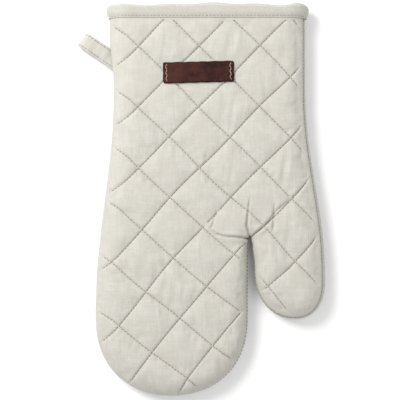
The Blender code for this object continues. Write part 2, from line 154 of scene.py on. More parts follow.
class MittQuilting(bpy.types.PropertyGroup):
    """The sewn diamonds."""

    half_pitch: length("Half pitch", 0.0247, "Half of a diamond's width from corner to corner")
    drift: length("Drift", 0.000205, "How fast the lines lean towards the thumb at the finger end")
    lean: share("Lean", 0.120, "Slope of the rows at the finger end")
    waver: length("Waver", 0.0005, "How far the lines wander")
    valley: length("Valley", 0.0008, "How deep the thread pulls the cloth in")
    groove: length("Groove", 0.0009, "Extra depth of the narrow groove under the thread")
    groove_width: length("Groove width", 0.00062, "Half width of the narrow groove")
    puff: length("Puff", 0.0013, "Height of a diamond's middle over its valleys")
    puff_reach: length("Puff reach", 0.0026, "How far from a valley the puff takes to rise")
    ripple: length("Ripple", 0.00039, "Height of the soft creases inside the diamonds")
    crease: length("Crease", 0.0018, "Depth of the creases that run out from the crotch")
    stitch: length("Stitch", 0.0023, "Length of one stitch")
    stitch_gap: length("Stitch gap", 0.0007, "Cloth between two stitches")
    thread: length("Thread", 0.00056, "Thickness of the quilting thread")


class MittTrim(bpy.types.PropertyGroup):
    """Binding, label and hanging loop."""

    binding_cover: length("Binding cover", 0.0008, "Thickness of the binding's cloth")
    topstitch_inset: length("Topstitch inset", 0.0012, "From the binding's lower edge up to its stitching")
    label_turn: tilt("Label turn", 1.5, "How far the label is turned")
    label_length: length("Label length", 0.0575, "Along the label")
    label_width: length("Label width", 0.0170, "Across the label")
    label_stitch_inset: length("Label stitch inset", 0.0028, "From the label's end to its stitching")
    tape_width: length("Tape width", 0.0131, "Width of the loop's tape")
    tape_thickness: length("Tape thickness", 0.0012, "Thickness of the loop's tape")
    loop_reach: length("Loop reach", 0.033, "From the seam to the loop's fold")
    loop_rise: tilt("Loop rise", 34, "Slope of the loop towards the cuff")
    loop_hinge_out: length("Loop hinge", 0.0055, "From the seam to the line the loop swings about")
    loop_bend: length("Loop bend", 0.0050, "Radius of the loop's fold")


class MittColours(bpy.types.PropertyGroup):
    """Colours of the cloths, the leather and the threads."""

    linen: colour("Linen", (0.470, 0.457, 0.402), "Warm threads of the outer linen")
    linen_pale: colour("Pale linen", (0.552, 0.540, 0.494), "Bleached threads of the outer linen")
    seam_thread: colour("Seam thread", (0.330, 0.305, 0.260), "Thread that closes the side seam")
    linen_thread: colour("Quilting thread", (0.165, 0.140, 0.110), "Quilting thread")
    topstitch: colour("Topstitch", (0.330, 0.240, 0.190), "Thread along the binding")
    leather: colour("Leather", (0.029, 0.010, 0.0085), "The label's face")
    # Warm leather: the leather's own tone that varies at random, and also the painted light on the label's
    # left end.
    leather_warm: colour("Warm leather", (0.070, 0.024, 0.019), "Where the label is rubbed")
    leather_edge: colour("Leather edge", (0.010, 0.006, 0.006), "The label's burnished edge")
    label_thread: colour("Label thread", (0.360, 0.265, 0.190), "Thread at the label's ends")
    wadding: colour("Wadding", (0.640, 0.625, 0.575), "Fibre filling")
    lining: colour("Lining", (0.560, 0.535, 0.470), "Cotton lining")
    floor: colour("Floor", (0.900, 0.900, 0.900), "Studio floor")


GROUPS = {
    "mitt_shape": MittShape,
    "mitt_quilting": MittQuilting,
    "mitt_trim": MittTrim,
    "mitt_colours": MittColours,
}


def smooth(value, low=0.0, high=1.0):
    """0 below low, 1 above high, and a smooth rise between them."""
    x = np.clip((value - low) / (high - low), 0, 1)
    return x * x * (3 - 2 * x)


def unit(rows):
    """The same directions, each of length one."""
    return rows / np.linalg.norm(rows, axis=1)[:, None]


def run_length(points):
    """How far along a line each of its points lies."""
    return np.concatenate(([0], np.cumsum(np.linalg.norm(np.diff(points, axis=0), axis=1))))


# The outline, and the roll of the sides

CURVE_REACH = 0.4  # of a side's length: how far its curve holds the direction it leaves in


def side_run(start, end, steps=24):
    """A run of the outline that leaves and arrives along y, without its last point."""
    reach = (end[1] - start[1]) * CURVE_REACH
    knots = [start, (start[0], start[1] + reach), (end[0], end[1] - reach), end]
    return [tuple(p[:2]) for p in interpolate_bezier(*[Vector((*k, 0)) for k in knots], steps + 1)][:-1]


def tip_quarter(centre, half_width, depth, first_angle, power, steps=32):
    """A quarter of a superellipse, turning towards +x through its lowest point, without its last point."""
    angles = first_angle + math.pi / 2 * np.arange(steps) / steps
    across, along = np.cos(angles), np.sin(angles)
    x = centre[0] + half_width * np.sign(across) * np.abs(across) ** (2 / power)
    y = centre[1] + depth * np.sign(along) * np.abs(along) ** (2 / power)
    return list(zip(x, y))


class Outline:
    """The mitt's edge in plan, from the mouth's left corner round fingers and thumb to its right corner."""

    STEP = 0.0012
    CROTCH_STEP = 0.0004
    TURN_STEPS = 12  # round the crotch
    ROLL_GROWS = (0.012, 0.075)  # from the crotch, where the roll widens to the sides' own
    BALL_SHARE = 0.95  # of the largest circle that fits: the most a side can curl
    ON_EDGE = 2e-5
    PART = 4000  # points worked out at a time

    def __init__(self, shape):
        self.shape = shape
        self.points = self.spaced(self.knots())
        along = np.gradient(self.points, axis=0)
        along[0] = (0, -1)
        along[-1] = (0, 1)
        self.inward = unit(np.column_stack((-along[:, 1], along[:, 0])))
        left, right = self.points[:, 0].min(), self.points[:, 0].max()
        self.seam_angle = shape.seam_tilt * (self.points[:, 0] - (left + right) / 2) / ((right - left) / 2)
        from_crotch = np.linalg.norm(self.points - CROTCH, axis=1)
        wider = (shape.edge_roll - shape.crotch_roll) * smooth(from_crotch, *self.ROLL_GROWS)
        self.roll = np.minimum(shape.crotch_roll + wider, self.BALL_SHARE * self.largest_balls())

    def knots(self):
        s = self.shape
        crotch = CROTCH - (CENTRE_LINE, FINGER_END)
        hand_left, hand_right = -s.hand_width / 2, s.hand_width / 2
        cuff_left = hand_left + s.cuff_inset
        cuff_right = cuff_left + s.cuff_width
        thumb_inner = hand_right + s.thumb_gap
        thumb_outer = thumb_inner + s.thumb_width
        tip_x = thumb_inner + s.thumb_tip_share * s.thumb_width
        inner_side = s.thumb_tip_height + s.thumb_inner_depth
        outer_side = s.thumb_tip_height + s.thumb_outer_depth
        crotch_side = crotch[1] - s.crotch_radius
        mouth = BINDING_HIGH.y - FINGER_END - s.outer - s.fit_gap
        waist = (cuff_left + s.waist_inset, s.waist_height)
        points = side_run((cuff_left, mouth), (cuff_left, s.cuff_straight))
        points += side_run((cuff_left, s.cuff_straight), waist)
        points += side_run(waist, (hand_left, s.fingertip_depth))
        for angle in (math.pi, 1.5 * math.pi):
            centre = (0, s.fingertip_depth)
            points += tip_quarter(centre, s.hand_width / 2, s.fingertip_depth, angle, s.tip_power)
        points += side_run((hand_right, s.fingertip_depth), (hand_right, crotch_side))
        turn = np.linspace(math.pi, 0, self.TURN_STEPS + 1)[:-1]
        turned = np.column_stack((np.cos(turn), np.sin(turn))) * s.crotch_radius
        points += [tuple(p) for p in turned + (crotch[0], crotch_side)]
        points += side_run((crotch[0] + s.crotch_radius, crotch_side), (thumb_inner, inner_side))
        points += tip_quarter(
            (tip_x, inner_side), tip_x - thumb_inner, s.thumb_inner_depth, math.pi, s.tip_power
        )
        points += tip_quarter(
            (tip_x, outer_side), thumb_outer - tip_x, s.thumb_outer_depth, 1.5 * math.pi, s.tip_power
        )
        points += side_run((thumb_outer, outer_side), (cuff_right, s.waist_height))
        points += side_run((cuff_right, s.waist_height), (cuff_right, s.cuff_straight))
        points += side_run((cuff_right, s.cuff_straight), (cuff_right, mouth)) + [(cuff_right, mouth)]
        return np.array(points) + (CENTRE_LINE, FINGER_END)

    def spaced(self, points):
        """The same line with even steps, which are shorter round the crotch."""
        run = run_length(points)
        apex = run[np.argmin(np.linalg.norm(points - CROTCH, axis=1))]
        near = 4 * self.shape.crotch_radius
        stops = [0, apex - near, apex, apex + near, run[-1]]
        steps = [self.STEP, self.CROTCH_STEP, self.CROTCH_STEP, self.STEP]
        places = [
            np.linspace(a, b, round((b - a) / step), endpoint=False)
            for a, b, step in zip(stops, stops[1:], steps)
        ]
        places = np.concatenate([*places, [run[-1]]])
        self.apex = int(np.argmin(np.abs(places - apex)))
        return np.column_stack([np.interp(places, run, points[:, axis]) for axis in (0, 1)])

    def largest_balls(self):
        """Radius of the largest circle that touches the outline at each point and fits inside it."""
        reach = self.points[None] - self.points[:, None]
        depth = np.einsum("ijk,ik->ij", reach, self.inward)
        squared = (reach**2).sum(2)
        radii = np.where(depth > self.shape.fit_gap, squared / np.maximum(2 * depth, 1e-9), 1)
        return radii.min(1)

    def foot(self, flat):
        """For points of the flat plan: how far in they lie, the way in, and the roll and seam angle."""
        results = []
        squares = (self.points**2).sum(1)
        for part in np.array_split(flat, max(1, len(flat) // self.PART)):
            nearest = (squares[None] - 2 * part @ self.points.T).argmin(1)
            best = None
            for first in (nearest - 1, nearest):
                first = np.clip(first, 0, len(self.points) - 2)
                start, span = self.points[first], self.points[first + 1] - self.points[first]
                t = np.clip(((part - start) * span).sum(1) / (span**2).sum(1), 0, 1)
                away = part - start - t[:, None] * span
                found = np.column_stack((np.linalg.norm(away, axis=1), away, t, first))
                closer = best is None or found[:, :1] < best[:, :1]
                best = np.where(closer, found, found if best is None else best)
            depth, away, t, first = best[:, 0], best[:, 1:3], best[:, 3], best[:, 4].astype(int)
            blended = unit(self.between(self.inward, first, t))
            on_edge = depth < self.ON_EDGE
            way = np.where(on_edge[:, None], blended, away / np.maximum(depth, 1e-9)[:, None])
            depth = np.where(on_edge | ((way * blended).sum(1) > 0), depth, 0)
            roll, seam = self.between(self.roll, first, t), self.between(self.seam_angle, first, t)
            results.append(np.column_stack((depth, way, roll, seam)))
        found = np.concatenate(results)
        return found[:, 0], found[:, 1:3], found[:, 3], found[:, 4]

    @staticmethod
    def between(values, first, t):
        t = t[:, None] if values.ndim == 2 else t
        return values[first] * (1 - t) + values[first + 1] * t


def height_of(shape, side, y):
    """From the seams to the flat of one side. The back is shallower at the cuff."""
    if side == FRONT:
        return np.full(len(y), shape.front_height)
    start = BINDING_LOW.y - shape.fit_gap - shape.cuff_step_run
    rise = np.clip((y - start) / shape.cuff_step_run, 0, 1)
    return shape.back_height - shape.cuff_step * rise


def roll_up(outline, flat, side, depth=0.0):
    """Rolls flat points over the mitt's edge. Gives their places, normals and unstretched pattern."""
    shape = outline.shape
    inset, way, roll, seam = outline.foot(flat)
    tall = height_of(shape, side, flat[:, 1])
    out = np.maximum(roll - inset, 0)
    u = np.minimum(out / roll, 1)
    whole = math.pi / 2 - side * seam
    turned = u + (whole - 1) * u * u
    across, up = np.sin(turned), np.cos(turned)
    shift = out - (roll - depth) * across
    rolled = (u > 0)[:, None]
    plan = flat + np.where(rolled, way * shift[:, None], 0)
    z = SEAM_HEIGHT + side * (shape.fit_gap / 2 + (tall - depth) * up)
    normal = unit(np.column_stack((-way * (across / (roll - depth))[:, None], side * up / (tall - depth))))
    arc = tall * turned + (roll - tall) * across
    pattern = flat + np.where(rolled, way * (out - arc)[:, None], 0)
    return np.column_stack((plan, z)), normal, pattern


# The quilting pattern


class Quilting:
    """The diamonds. Whole values of rising and falling are the sewn lines, one diamond apart."""

    AT_CROTCH = (1.53, 6.47)  # column and row of the crotch, in half pitches
    DRIFT_ROW = 2.5
    THUMB_LAST_LINE = 5
    NO_LAST_LINE = 99
    WAVES = ((95, 1.3), (2.3, 0.4))  # of the rows across the mitt, and of the columns from row to row
    FIT_ROUNDS = 12
    LEAN_ROWS = (4, 10)
    LEAN_PLACES = (-0.1, 0.064, 0.095)  # across the mitt from the centre line
    LEAN_RISES = (-0.1, 0.064, -0.03)  # the rows fall again over the thumb
    PULL = 0.0008  # the rows are pulled up round the crotch
    PULL_REACH = (0.035, 1.6)  # across the mitt, and in rows

    def __init__(self, sizes, mirrored=False):
        self.sizes = sizes
        self.mirrored = mirrored
        self.side = sizes.half_pitch * math.sqrt(2)
        self.home = np.zeros(2)
        for _ in range(4):
            self.home = self.home + CROTCH - self.place(np.array([self.AT_CROTCH]))[0]

    def row_lean(self, row, x):
        out = x - CENTRE_LINE
        rise = np.interp(out, self.LEAN_PLACES, self.LEAN_RISES)
        lean = self.sizes.lean * smooth(row, *self.LEAN_ROWS) * rise
        across = (x - CROTCH[0]) / self.PULL_REACH[0]
        along = (row - self.AT_CROTCH[1]) / self.PULL_REACH[1]
        pull = self.PULL * np.exp(-across * across - along * along)
        return lean + pull + self.sizes.waver * np.sin(out * self.WAVES[0][0] + self.WAVES[0][1])

    def drift(self, row):
        leaning = self.sizes.drift * np.maximum(row - self.DRIFT_ROW, 0) ** 2
        return leaning + self.sizes.waver * np.sin(row * self.WAVES[1][0] + self.WAVES[1][1])

    def place(self, grid):
        """Plan points of (column, row) pairs."""
        h = self.sizes.half_pitch
        x = h * grid[:, 0] + self.drift(grid[:, 1]) + CENTRE_LINE
        y = -h * grid[:, 1] + self.row_lean(grid[:, 1], x + self.home[0])
        return np.column_stack((x, y)) + self.home

    def of_lines(self, rising, falling):
        """Plan points where a rising line meets a falling one."""
        return self.place(np.column_stack((rising + falling, rising - falling)))

    def lines_at(self, flat):
        """The rising and falling values at plan points."""
        h = self.sizes.half_pitch
        row = (self.home[1] - flat[:, 1]) / h
        for _ in range(self.FIT_ROUNDS):
            row = (self.home[1] + self.row_lean(row, flat[:, 0]) - flat[:, 1]) / h
        column = (flat[:, 0] - self.home[0] - CENTRE_LINE - self.drift(row)) / h
        return (row + column) / 2, (column - row) / 2

    def distances(self, flat):
        """How far each plan point is from the nearest rising line and the nearest falling line."""
        rising, falling = self.lines_at(flat)
        last = self.last_rising(flat)
        beyond = np.round(rising) > last
        rising = np.where(beyond, rising - last, np.abs(rising - np.round(rising)))
        return rising * self.side, np.abs(falling - np.round(falling)) * self.side

    def last_rising(self, flat):
        """Number of the last rising line: the thumb's end has none of its own."""
        return np.where(flat[:, 0] > CROTCH[0], self.THUMB_LAST_LINE, self.NO_LAST_LINE)


class Relief:
    """How far each point of a panel's face stands over its sewn lines' level."""

    CELLS = 14  # of the simulated cloth, along a diamond's side
    SCALE = 10  # the simulation is run larger than life, where its forces are well matched
    FRAMES = 26
    CAP = 0.0042
    RIM_FADE = (0.0015, 0.009)  # in from the seam, where the puffs rise
    UNDER_FADE = 0.008  # further in where the side is rolled under
    CUFF_FADE = (0.006, 0.0005)  # short of the binding, where they end
    RISE = (0.001, 0.005)  # from a sewn line to where the cloth is free
    DOME = 0.35  # of the simulated rise over the usual puff
    SEAM_DIP = (0.0007, 0.0012)  # depth, and reach in from the seam
    FLOOR_REST = (0.0002, 0.0004)  # where the floor stops the back's puffs, and how softly
    LABEL_HOLD = (0.0005, 0.007)  # beyond the label, where its hold ends
    RIPPLES = (  # sizes across and along the mitt, and a seed
        (0.0042, 0.0190, 3),  # long creases
        (0.0024, 0.0100, 7),  # fine ones
        (0.0150, 0.0048, 11),  # creases across the mitt
        (0.022, 0.026, 17),  # the patches where they show
    )
    BEND = (0.0016, 130, 4)  # how far creases along the mitt wander, and how often
    GATHER = (0.0030, 0.012)  # length of a gather along its sewn line, and away from it
    GATHER_REACH = (0.0034, 0.0007)  # how far gathers run out, and where they start
    GATHER_SEEDS = (23, 29)

    def __init__(self, outline, quilting, side):
        self.outline = outline
        self.quilting = quilting
        self.sizes = quilting.sizes
        self.side = side
        self.cloth = None
        self.corner = None

    def envelope(self, flat):
        """Fades the puffs out towards the side seam and under the binding."""
        inset, _, _, seam = self.outline.foot(flat)
        rolled_under = np.clip(-self.side * seam / self.outline.shape.seam_tilt, 0, 1)
        starts, ends = self.RIM_FADE
        rim = smooth(inset, starts, ends + self.UNDER_FADE * rolled_under)
        cuff = 1 - smooth(flat[:, 1], *(BINDING_LOW.y - short for short in self.CUFF_FADE))
        return rim * cuff, inset

    def guess(self, flat):
        """The puffs as a plain formula, which is also where the simulation starts."""
        rising, falling = self.quilting.distances(flat)
        reach = self.sizes.puff_reach
        swell = (1 - np.exp(-rising / reach)) * (1 - np.exp(-falling / reach))
        return self.sizes.puff * swell

    def simulate(self):
        """Blows the panel's cloth up between its sewn lines, and keeps how far each point rose."""
        values = np.array(self.quilting.lines_at(self.outline.points))
        low, high = values.min(1), values.max(1)
        self.corner = np.floor(low - 0.5)
        count = ((np.ceil(high + 0.5) - self.corner) * self.CELLS).astype(int) + 1
        i, j = np.meshgrid(np.arange(count[0]), np.arange(count[1]), indexing="ij")
        i, j = i.ravel(), j.ravel()
        flat = self.quilting.of_lines(self.corner[0] + i / self.CELLS, self.corner[1] + j / self.CELLS)
        inset = self.outline.foot(flat)[0]
        inside = (inset > 0.0006) & (flat[:, 1] < BINDING_LOW.y + 0.004)
        index = np.arange(len(flat)).reshape(count)
        corners = (index[:-1, :-1], index[1:, :-1], index[1:, 1:], index[:-1, 1:])
        quads = np.stack(corners, -1).reshape(-1, 4)
        quads = quads[inside[quads].all(1)]
        used = np.unique(quads)
        renumbered = np.full(len(flat), -1)
        renumbered[used] = np.arange(len(used))
        flat, i, j = flat[used], i[used], j[used]
        edges = np.bincount(renumbered[quads].ravel(), minlength=len(used))
        rising = i / self.CELLS + self.corner[0]
        sewn_rising = (i % self.CELLS == 0) & (rising <= self.quilting.last_rising(flat))
        held = sewn_rising | (j % self.CELLS == 0) | (edges < 4)
        base, normal, _ = roll_up(self.outline, flat, self.side)
        envelope = self.envelope(flat)[0]
        start = base + normal * (0.5 * self.guess(flat) * envelope * ~held)[:, None]
        moved = inflate(start * self.SCALE, renumbered[quads], held, self.side, self.FRAMES) / self.SCALE
        shift = moved - base
        rise = np.clip((shift * normal).sum(1), -self.CAP / 4, self.CAP)
        self.cloth = np.zeros(count)
        self.cloth[i, j] = rise

    def swell(self, flat):
        """The puffs at plan points: from the simulated cloth, or from the plain formula without it."""
        if self.cloth is None:
            return self.guess(flat)
        values = [v - c for v, c in zip(self.quilting.lines_at(flat), self.corner)]
        places = [np.clip(v * self.CELLS, 0, n - 1.001) for v, n in zip(values, self.cloth.shape)]
        a, b = (p.astype(int) for p in places)
        s, t = places[0] - a, places[1] - b
        grid = self.cloth
        near = grid[a, b] * (1 - t) + grid[a, b + 1] * t
        far = grid[a + 1, b] * (1 - t) + grid[a + 1, b + 1] * t
        return near * (1 - s) + far * s

    def heights(self, flat, fine=True):
        """Height over the solid's own face, with the label's and the floor's pressure on it."""
        envelope, inset = self.envelope(flat)
        rising, falling = self.quilting.distances(flat)
        nearest = np.minimum(rising, falling)
        sizes = self.sizes
        swell = self.swell(flat)
        height = (sizes.puff * np.tanh(swell / sizes.puff) - sizes.valley) * envelope
        if fine:
            rise = smooth(nearest, *self.RISE)
            height += self.DOME * (swell - sizes.puff) * rise * envelope
            height += self.ripples(flat) * (0.35 + 0.65 * rise) * envelope
            height += self.puckers(flat) * envelope
            height -= sizes.groove * np.exp(-((nearest / sizes.groove_width) ** 2)) * envelope
            height -= self.SEAM_DIP[0] * np.exp(-inset / self.SEAM_DIP[1])
            if self.side == FRONT:
                height += crotch_creases(flat, sizes.crease)
        if self.side == BACK:
            limit, softness = self.FLOOR_REST
            height = -np.logaddexp(0, -(height - limit) / softness) * softness
        else:
            height = self.under_label(flat, height)
        return height

    def ripples(self, flat):
        """Soft creases, most of them along the mitt, where the cloth is slacker than its wadding."""
        x, y = flat.T
        reach, turns, slant = self.BEND
        bent = x + reach * np.sin(y * turns + slant * x)
        along, fine, across, patch = (
            waves(place / width, y / tall, seed + self.side)
            for place, (width, tall, seed) in zip((bent, bent, x, x), self.RIPPLES)
        )
        patch = smooth(patch, -0.25, 0.35)
        return self.sizes.ripple * ((1.5 * along + 0.5 * fine) * patch + 0.5 * across)

    def puckers(self, flat):
        """Little gathers that run out from the stitches on either side."""
        values = self.quilting.lines_at(flat)
        total = 0
        for this, other, seed in zip(values, values[::-1], self.GATHER_SEEDS):
            away = np.abs(this - np.round(this)) * self.quilting.side
            run = other * self.quilting.side
            gather = waves(run / self.GATHER[0], np.round(this) * 7.3 + away / self.GATHER[1], seed)
            far, near = (np.exp(-away / reach) for reach in self.GATHER_REACH)
            total = total + gather * far * (1 - near)
        return 1.1 * self.sizes.ripple * total

    def under_label(self, flat, height):
        """The label holds the cloth down."""
        middle = np.array((LABEL_LOW + LABEL_HIGH)[:2]) / 2
        half = np.array((LABEL_HIGH - LABEL_LOW)[:2]) / 2
        beyond = np.linalg.norm(np.maximum(np.abs(flat - middle) - half, 0), axis=1)
        held = 1 - smooth(beyond, *self.LABEL_HOLD)
        return height * (1 - held) + np.minimum(height, -0.0001) * held


def waves(x, y, seed):
    """Smooth noise from -1 to 1 with a bump about every unit, the same each time for a seed."""
    table = np.random.default_rng(seed).uniform(-1, 1, (64, 64))
    i, j = np.floor(x).astype(int), np.floor(y).astype(int)
    s, t = smooth(x - i), smooth(y - j)
    i, j, m, n = i % 64, j % 64, (i + 1) % 64, (j + 1) % 64
    near = table[i, j] * (1 - t) + table[i, n] * t
    far = table[m, j] * (1 - t) + table[m, n] * t
    return near * (1 - s) + far * s


# Creases pulled out from the crotch: a share of the full depth, and a run of points from the deepest end,
# in metres from the crotch
CREASES = (
    (1.2, ((0.0, -0.0004), (-0.0028, 0.0105), (-0.0012, 0.0240), (0.0002, 0.0350))),
    (1.4, ((0.0002, -0.0008), (-0.0110, 0.0008), (-0.0200, 0.0012), (-0.0283, 0.0032), (-0.0348, 0.0105))),
    (0.7, ((0.0186, 0.0070), (0.0190, 0.0190), (0.0203, 0.0300))),
    (0.6, ((-0.0310, 0.0090), (-0.0283, 0.0178), (-0.0267, 0.0243))),
    (0.8, ((0.0010, 0.0008), (0.0130, 0.0110), (0.0218, 0.0225), (0.0340, 0.0324))),
)
CREASE_WIDTH = 0.0008
CREASE_ROWS = (-2.6, -1.5, -0.7, 0, 0.7, 1.5, 2.6)  # rows of points beside a crease, in widths
CREASE_STEP = 0.0008
CREASE_RIDGE = (0.28, 2.6, 1.8)  # the ridge beside a crease: height in depths, place and width in widths


def along_run(flat, run):
    """Distance of each point from a run of points, and the nearest place along it, from 0 to 1."""
    run = np.array(run) + CROTCH
    lengths = np.linalg.norm(np.diff(run, axis=0), axis=1)
    before = np.concatenate(([0], np.cumsum(lengths)))
    distance, share_along = np.full(len(flat), 1.0), np.zeros(len(flat))
    for k, long in enumerate(lengths):
        span = run[k + 1] - run[k]
        t = np.clip((flat - run[k]) @ span / long**2, 0, 1)
        away = np.linalg.norm(flat - run[k] - t[:, None] * span, axis=1)
        closer = away < distance
        distance = np.where(closer, away, distance)
        share_along = np.where(closer, (before[k] + t * long) / before[-1], share_along)
    return distance, share_along


def crotch_creases(flat, depth):
    """Height of the creases: a narrow valley with a low ridge on either side, fading along its length."""
    high, place, wide = CREASE_RIDGE
    total = np.zeros(len(flat))
    for strength, run in CREASES:
        away, t = along_run(flat, run)
        fade = strength * (1 - t * t * t) * smooth(t, -0.25, 0.15)
        valley = -np.exp(-((away / CREASE_WIDTH) ** 2))
        ridge = high * np.exp(-(((away - place * CREASE_WIDTH) / (wide * CREASE_WIDTH)) ** 2))
        total += depth * fade * (valley + ridge)
    return total


def crease_points():
    """Points beside the creases, so that the mesh is fine enough to hold them."""
    points = []
    for _, run in CREASES:
        run = np.array(run) + CROTCH
        for a, b in zip(run, run[1:]):
            along = (b - a) / np.linalg.norm(b - a)
            across = np.array((-along[1], along[0]))
            for t in np.arange(0, np.linalg.norm(b - a), CREASE_STEP):
                points += [a + along * t + across * off * CREASE_WIDTH for off in CREASE_ROWS]
    return np.array(points)


CLOTH = {
    "quality": 6,
    "mass": 0.04,
    "tension_stiffness": 60,
    "compression_stiffness": 60,
    "shear_stiffness": 20,
    "bending_stiffness": 0.6,
    "tension_damping": 8,
    "compression_damping": 8,
    "air_damping": 3,
    "use_pressure": True,
    "uniform_pressure_force": 14,
    "shrink_min": -0.022,  # the linen is cut a little fuller than its wadding
    "shrink_max": -0.022,
}


def inflate(points, quads, held, side, frames):
    """Runs Blender's cloth on a sheet whose held points stay put, and returns where its points go."""
    if side == BACK:
        quads = quads[:, ::-1]
    mesh = bpy.data.meshes.new("sheet_to_inflate")
    mesh.from_pydata(points.tolist(), [], quads.tolist())
    sheet = bpy.data.objects.new("sheet_to_inflate", mesh)
    bpy.context.scene.collection.objects.link(sheet)
    group = sheet.vertex_groups.new(name="held")
    group.add(np.flatnonzero(held).tolist(), 1.0, "REPLACE")
    cloth = sheet.modifiers.new("cloth", "CLOTH")
    for setting, value in CLOTH.items():
        setattr(cloth.settings, setting, value)
    cloth.settings.vertex_group_mass = group.name
    cloth.settings.effector_weights.gravity = 0
    cloth.collision_settings.use_collision = False
    cloth.point_cache.frame_start = 1
    cloth.point_cache.frame_end = frames
    scene = bpy.context.scene
    for number in range(1, frames + 1):
        scene.frame_set(number)
    evaluated = sheet.evaluated_get(bpy.context.evaluated_depsgraph_get())
    moved = np.zeros(len(points) * 3)
    evaluated.data.vertices.foreach_get("co", moved)
    scene.frame_set(1)
    bpy.data.objects.remove(sheet)
    bpy.data.meshes.remove(mesh)
    return moved.reshape(-1, 3)


# Meshes of the quilted layers

LINE_SHARES = (0, 0.012, 0.027, 0.048, 0.078, 0.115, 0.155, 0.2, 0.245, 0.29, 0.335, 0.38, 0.42, 0.46, 0.5)
COARSE_SHARES = (0, 0.08, 0.18, 0.30, 0.42)
RIM_INSETS = (0.0006, 0.0014, 0.0025, 0.004)


def split_line(outline, quilting):
    """The sewn line that leaves the crotch: the hand's mesh and the thumb's meet along it."""
    apex = outline.points[outline.apex]
    rising, falling = (v[0] for v in quilting.lines_at(apex[None]))
    line = round(rising)
    run = np.arange(falling + 0.04, falling + 4, 1 / 25)
    points = quilting.of_lines(np.full(len(run), rising), run)
    target = quilting.of_lines(np.full(len(run), line), run)
    points = points + (target - points) * smooth(run - falling, 0, 0.5)[:, None]
    inset = outline.foot(points)[0]
    near_rim = inset < np.where(run - falling < 0.5, 0, 0.0009)
    inner = points[:near_rim.argmax()]
    last = np.linalg.norm(outline.points - inner[-1], axis=1).argmin()
    return np.vstack((apex, inner, outline.points[last])), int(last)


def inside_polygon(points, polygon):
    """Whether each point lies inside a closed polygon."""
    inside = np.zeros(len(points), bool)
    x, y = points[:, 0], points[:, 1]
    for (x0, y0), (x1, y1) in zip(polygon, np.roll(polygon, -1, axis=0)):
        crosses = (y0 > y) != (y1 > y)
        if crosses.any():
            inside ^= crosses & (x < (x1 - x0) * (y - y0) / ((y1 - y0) or 1e-12) + x0)
    return inside


class FlatPanel:
    """One section's cloth laid flat: its triangles, and the loop of points round its edge."""

    def __init__(self, outline, quilting, section, fine=True):
        split, last = split_line(outline, quilting)
        points, apex = outline.points, outline.apex
        rim_step = 1 if fine else 3
        if section == "thumb":
            rim = points[apex:last + 1][::rim_step]
            rim = np.vstack((rim, points[last])) if (last - apex) % rim_step else rim
            loop = np.vstack((rim, split[1:-1][::-1][::rim_step]))
        else:
            mouth = np.linspace(points[-1], points[0], round((points[-1] - points[0])[0] / 0.0025) + 1)
            left = points[:apex][::rim_step]
            right = points[last:][::rim_step]
            right = right if (right[-1] == points[-1]).all() else np.vstack((right, points[-1]))
            middle = split[:-1]
            middle = np.vstack((middle[:1], middle[1:][::-1][::rim_step][::-1]))
            loop = np.vstack((left, middle, right, mouth[1:-1]))
        self.loop = loop
        self.build(outline, quilting, fine)

    def build(self, outline, quilting, fine):
        shares = LINE_SHARES if fine else COARSE_SHARES
        steps = np.unique(np.round([*shares, *(1 - np.array(shares))], 5) % 1)
        values = np.array(quilting.lines_at(self.loop))
        low, high = np.floor(values.min(1)), np.ceil(values.max(1))
        runs = [
            np.sort((np.arange(a, b)[:, None] + steps[None]).ravel()) for a, b in zip(low, high)
        ]
        grid = np.stack(np.meshgrid(*runs, indexing="ij"), -1).reshape(-1, 2)
        inner = quilting.of_lines(grid[:, 0], grid[:, 1])
        step = 1 if fine else 3
        insets = RIM_INSETS if fine else RIM_INSETS[1::2]
        rim = outline.points[::step]
        way = outline.inward[::step]
        rings = [rim + way * inset for inset in insets]
        ringed = np.vstack(rings)
        ring_depth = np.repeat(insets, len(rim))
        true_depth = outline.foot(ringed)[0]
        ringed = ringed[np.abs(true_depth - ring_depth) < 1e-4]
        clear = insets[-1] + (0.0007 if fine else 0.002)
        inner = inner[inside_polygon(inner, self.loop)]
        if fine:
            extra = crease_points()
            distance = np.full(len(inner), 1.0)
            for _, run in CREASES:
                distance = np.minimum(distance, along_run(inner, run)[0])
            inner = np.vstack((inner[distance > 3.2 * CREASE_WIDTH], extra))
        candidates = np.vstack((ringed, inner))
        is_ring = np.arange(len(candidates)) < len(ringed)
        inside = inside_polygon(candidates, self.loop)
        candidates, is_ring = candidates[inside], is_ring[inside]
        keep = self.clear_of_loop(candidates, 0.00045 if fine else 0.0012)
        depth = outline.foot(candidates)[0]
        keep &= (depth > clear) | is_ring
        inner = candidates[keep]
        count = len(self.loop)
        everything = [Vector(p) for p in np.vstack((self.loop, inner))]
        face = [list(range(count))]
        made = delaunay_2d_cdt(everything, [], face, 1, 1e-7, False)
        self.points = np.array([tuple(p) for p in made[0]])
        faces = np.array([list(f) for f in made[2] if len(f) == 3])
        middles = self.points[faces].mean(1)
        self.faces = faces[inside_polygon(middles, self.loop)].tolist()
        self.find_loop()

    def clear_of_loop(self, points, gap):
        distance = np.full(len(points), 1.0)
        for part in np.array_split(self.loop, 8):
            distance = np.minimum(distance, np.linalg.norm(points[:, None] - part[None], axis=2).min(1))
        return distance > gap

    def find_loop(self):
        """The mesh's boundary edges, in the order that its faces run."""
        seen = {}
        for face in self.faces:
            for a, b in zip(face, face[1:] + face[:1]):
                seen[(a, b)] = True
        self.rim = [(a, b) for a, b in seen if (b, a) not in seen]


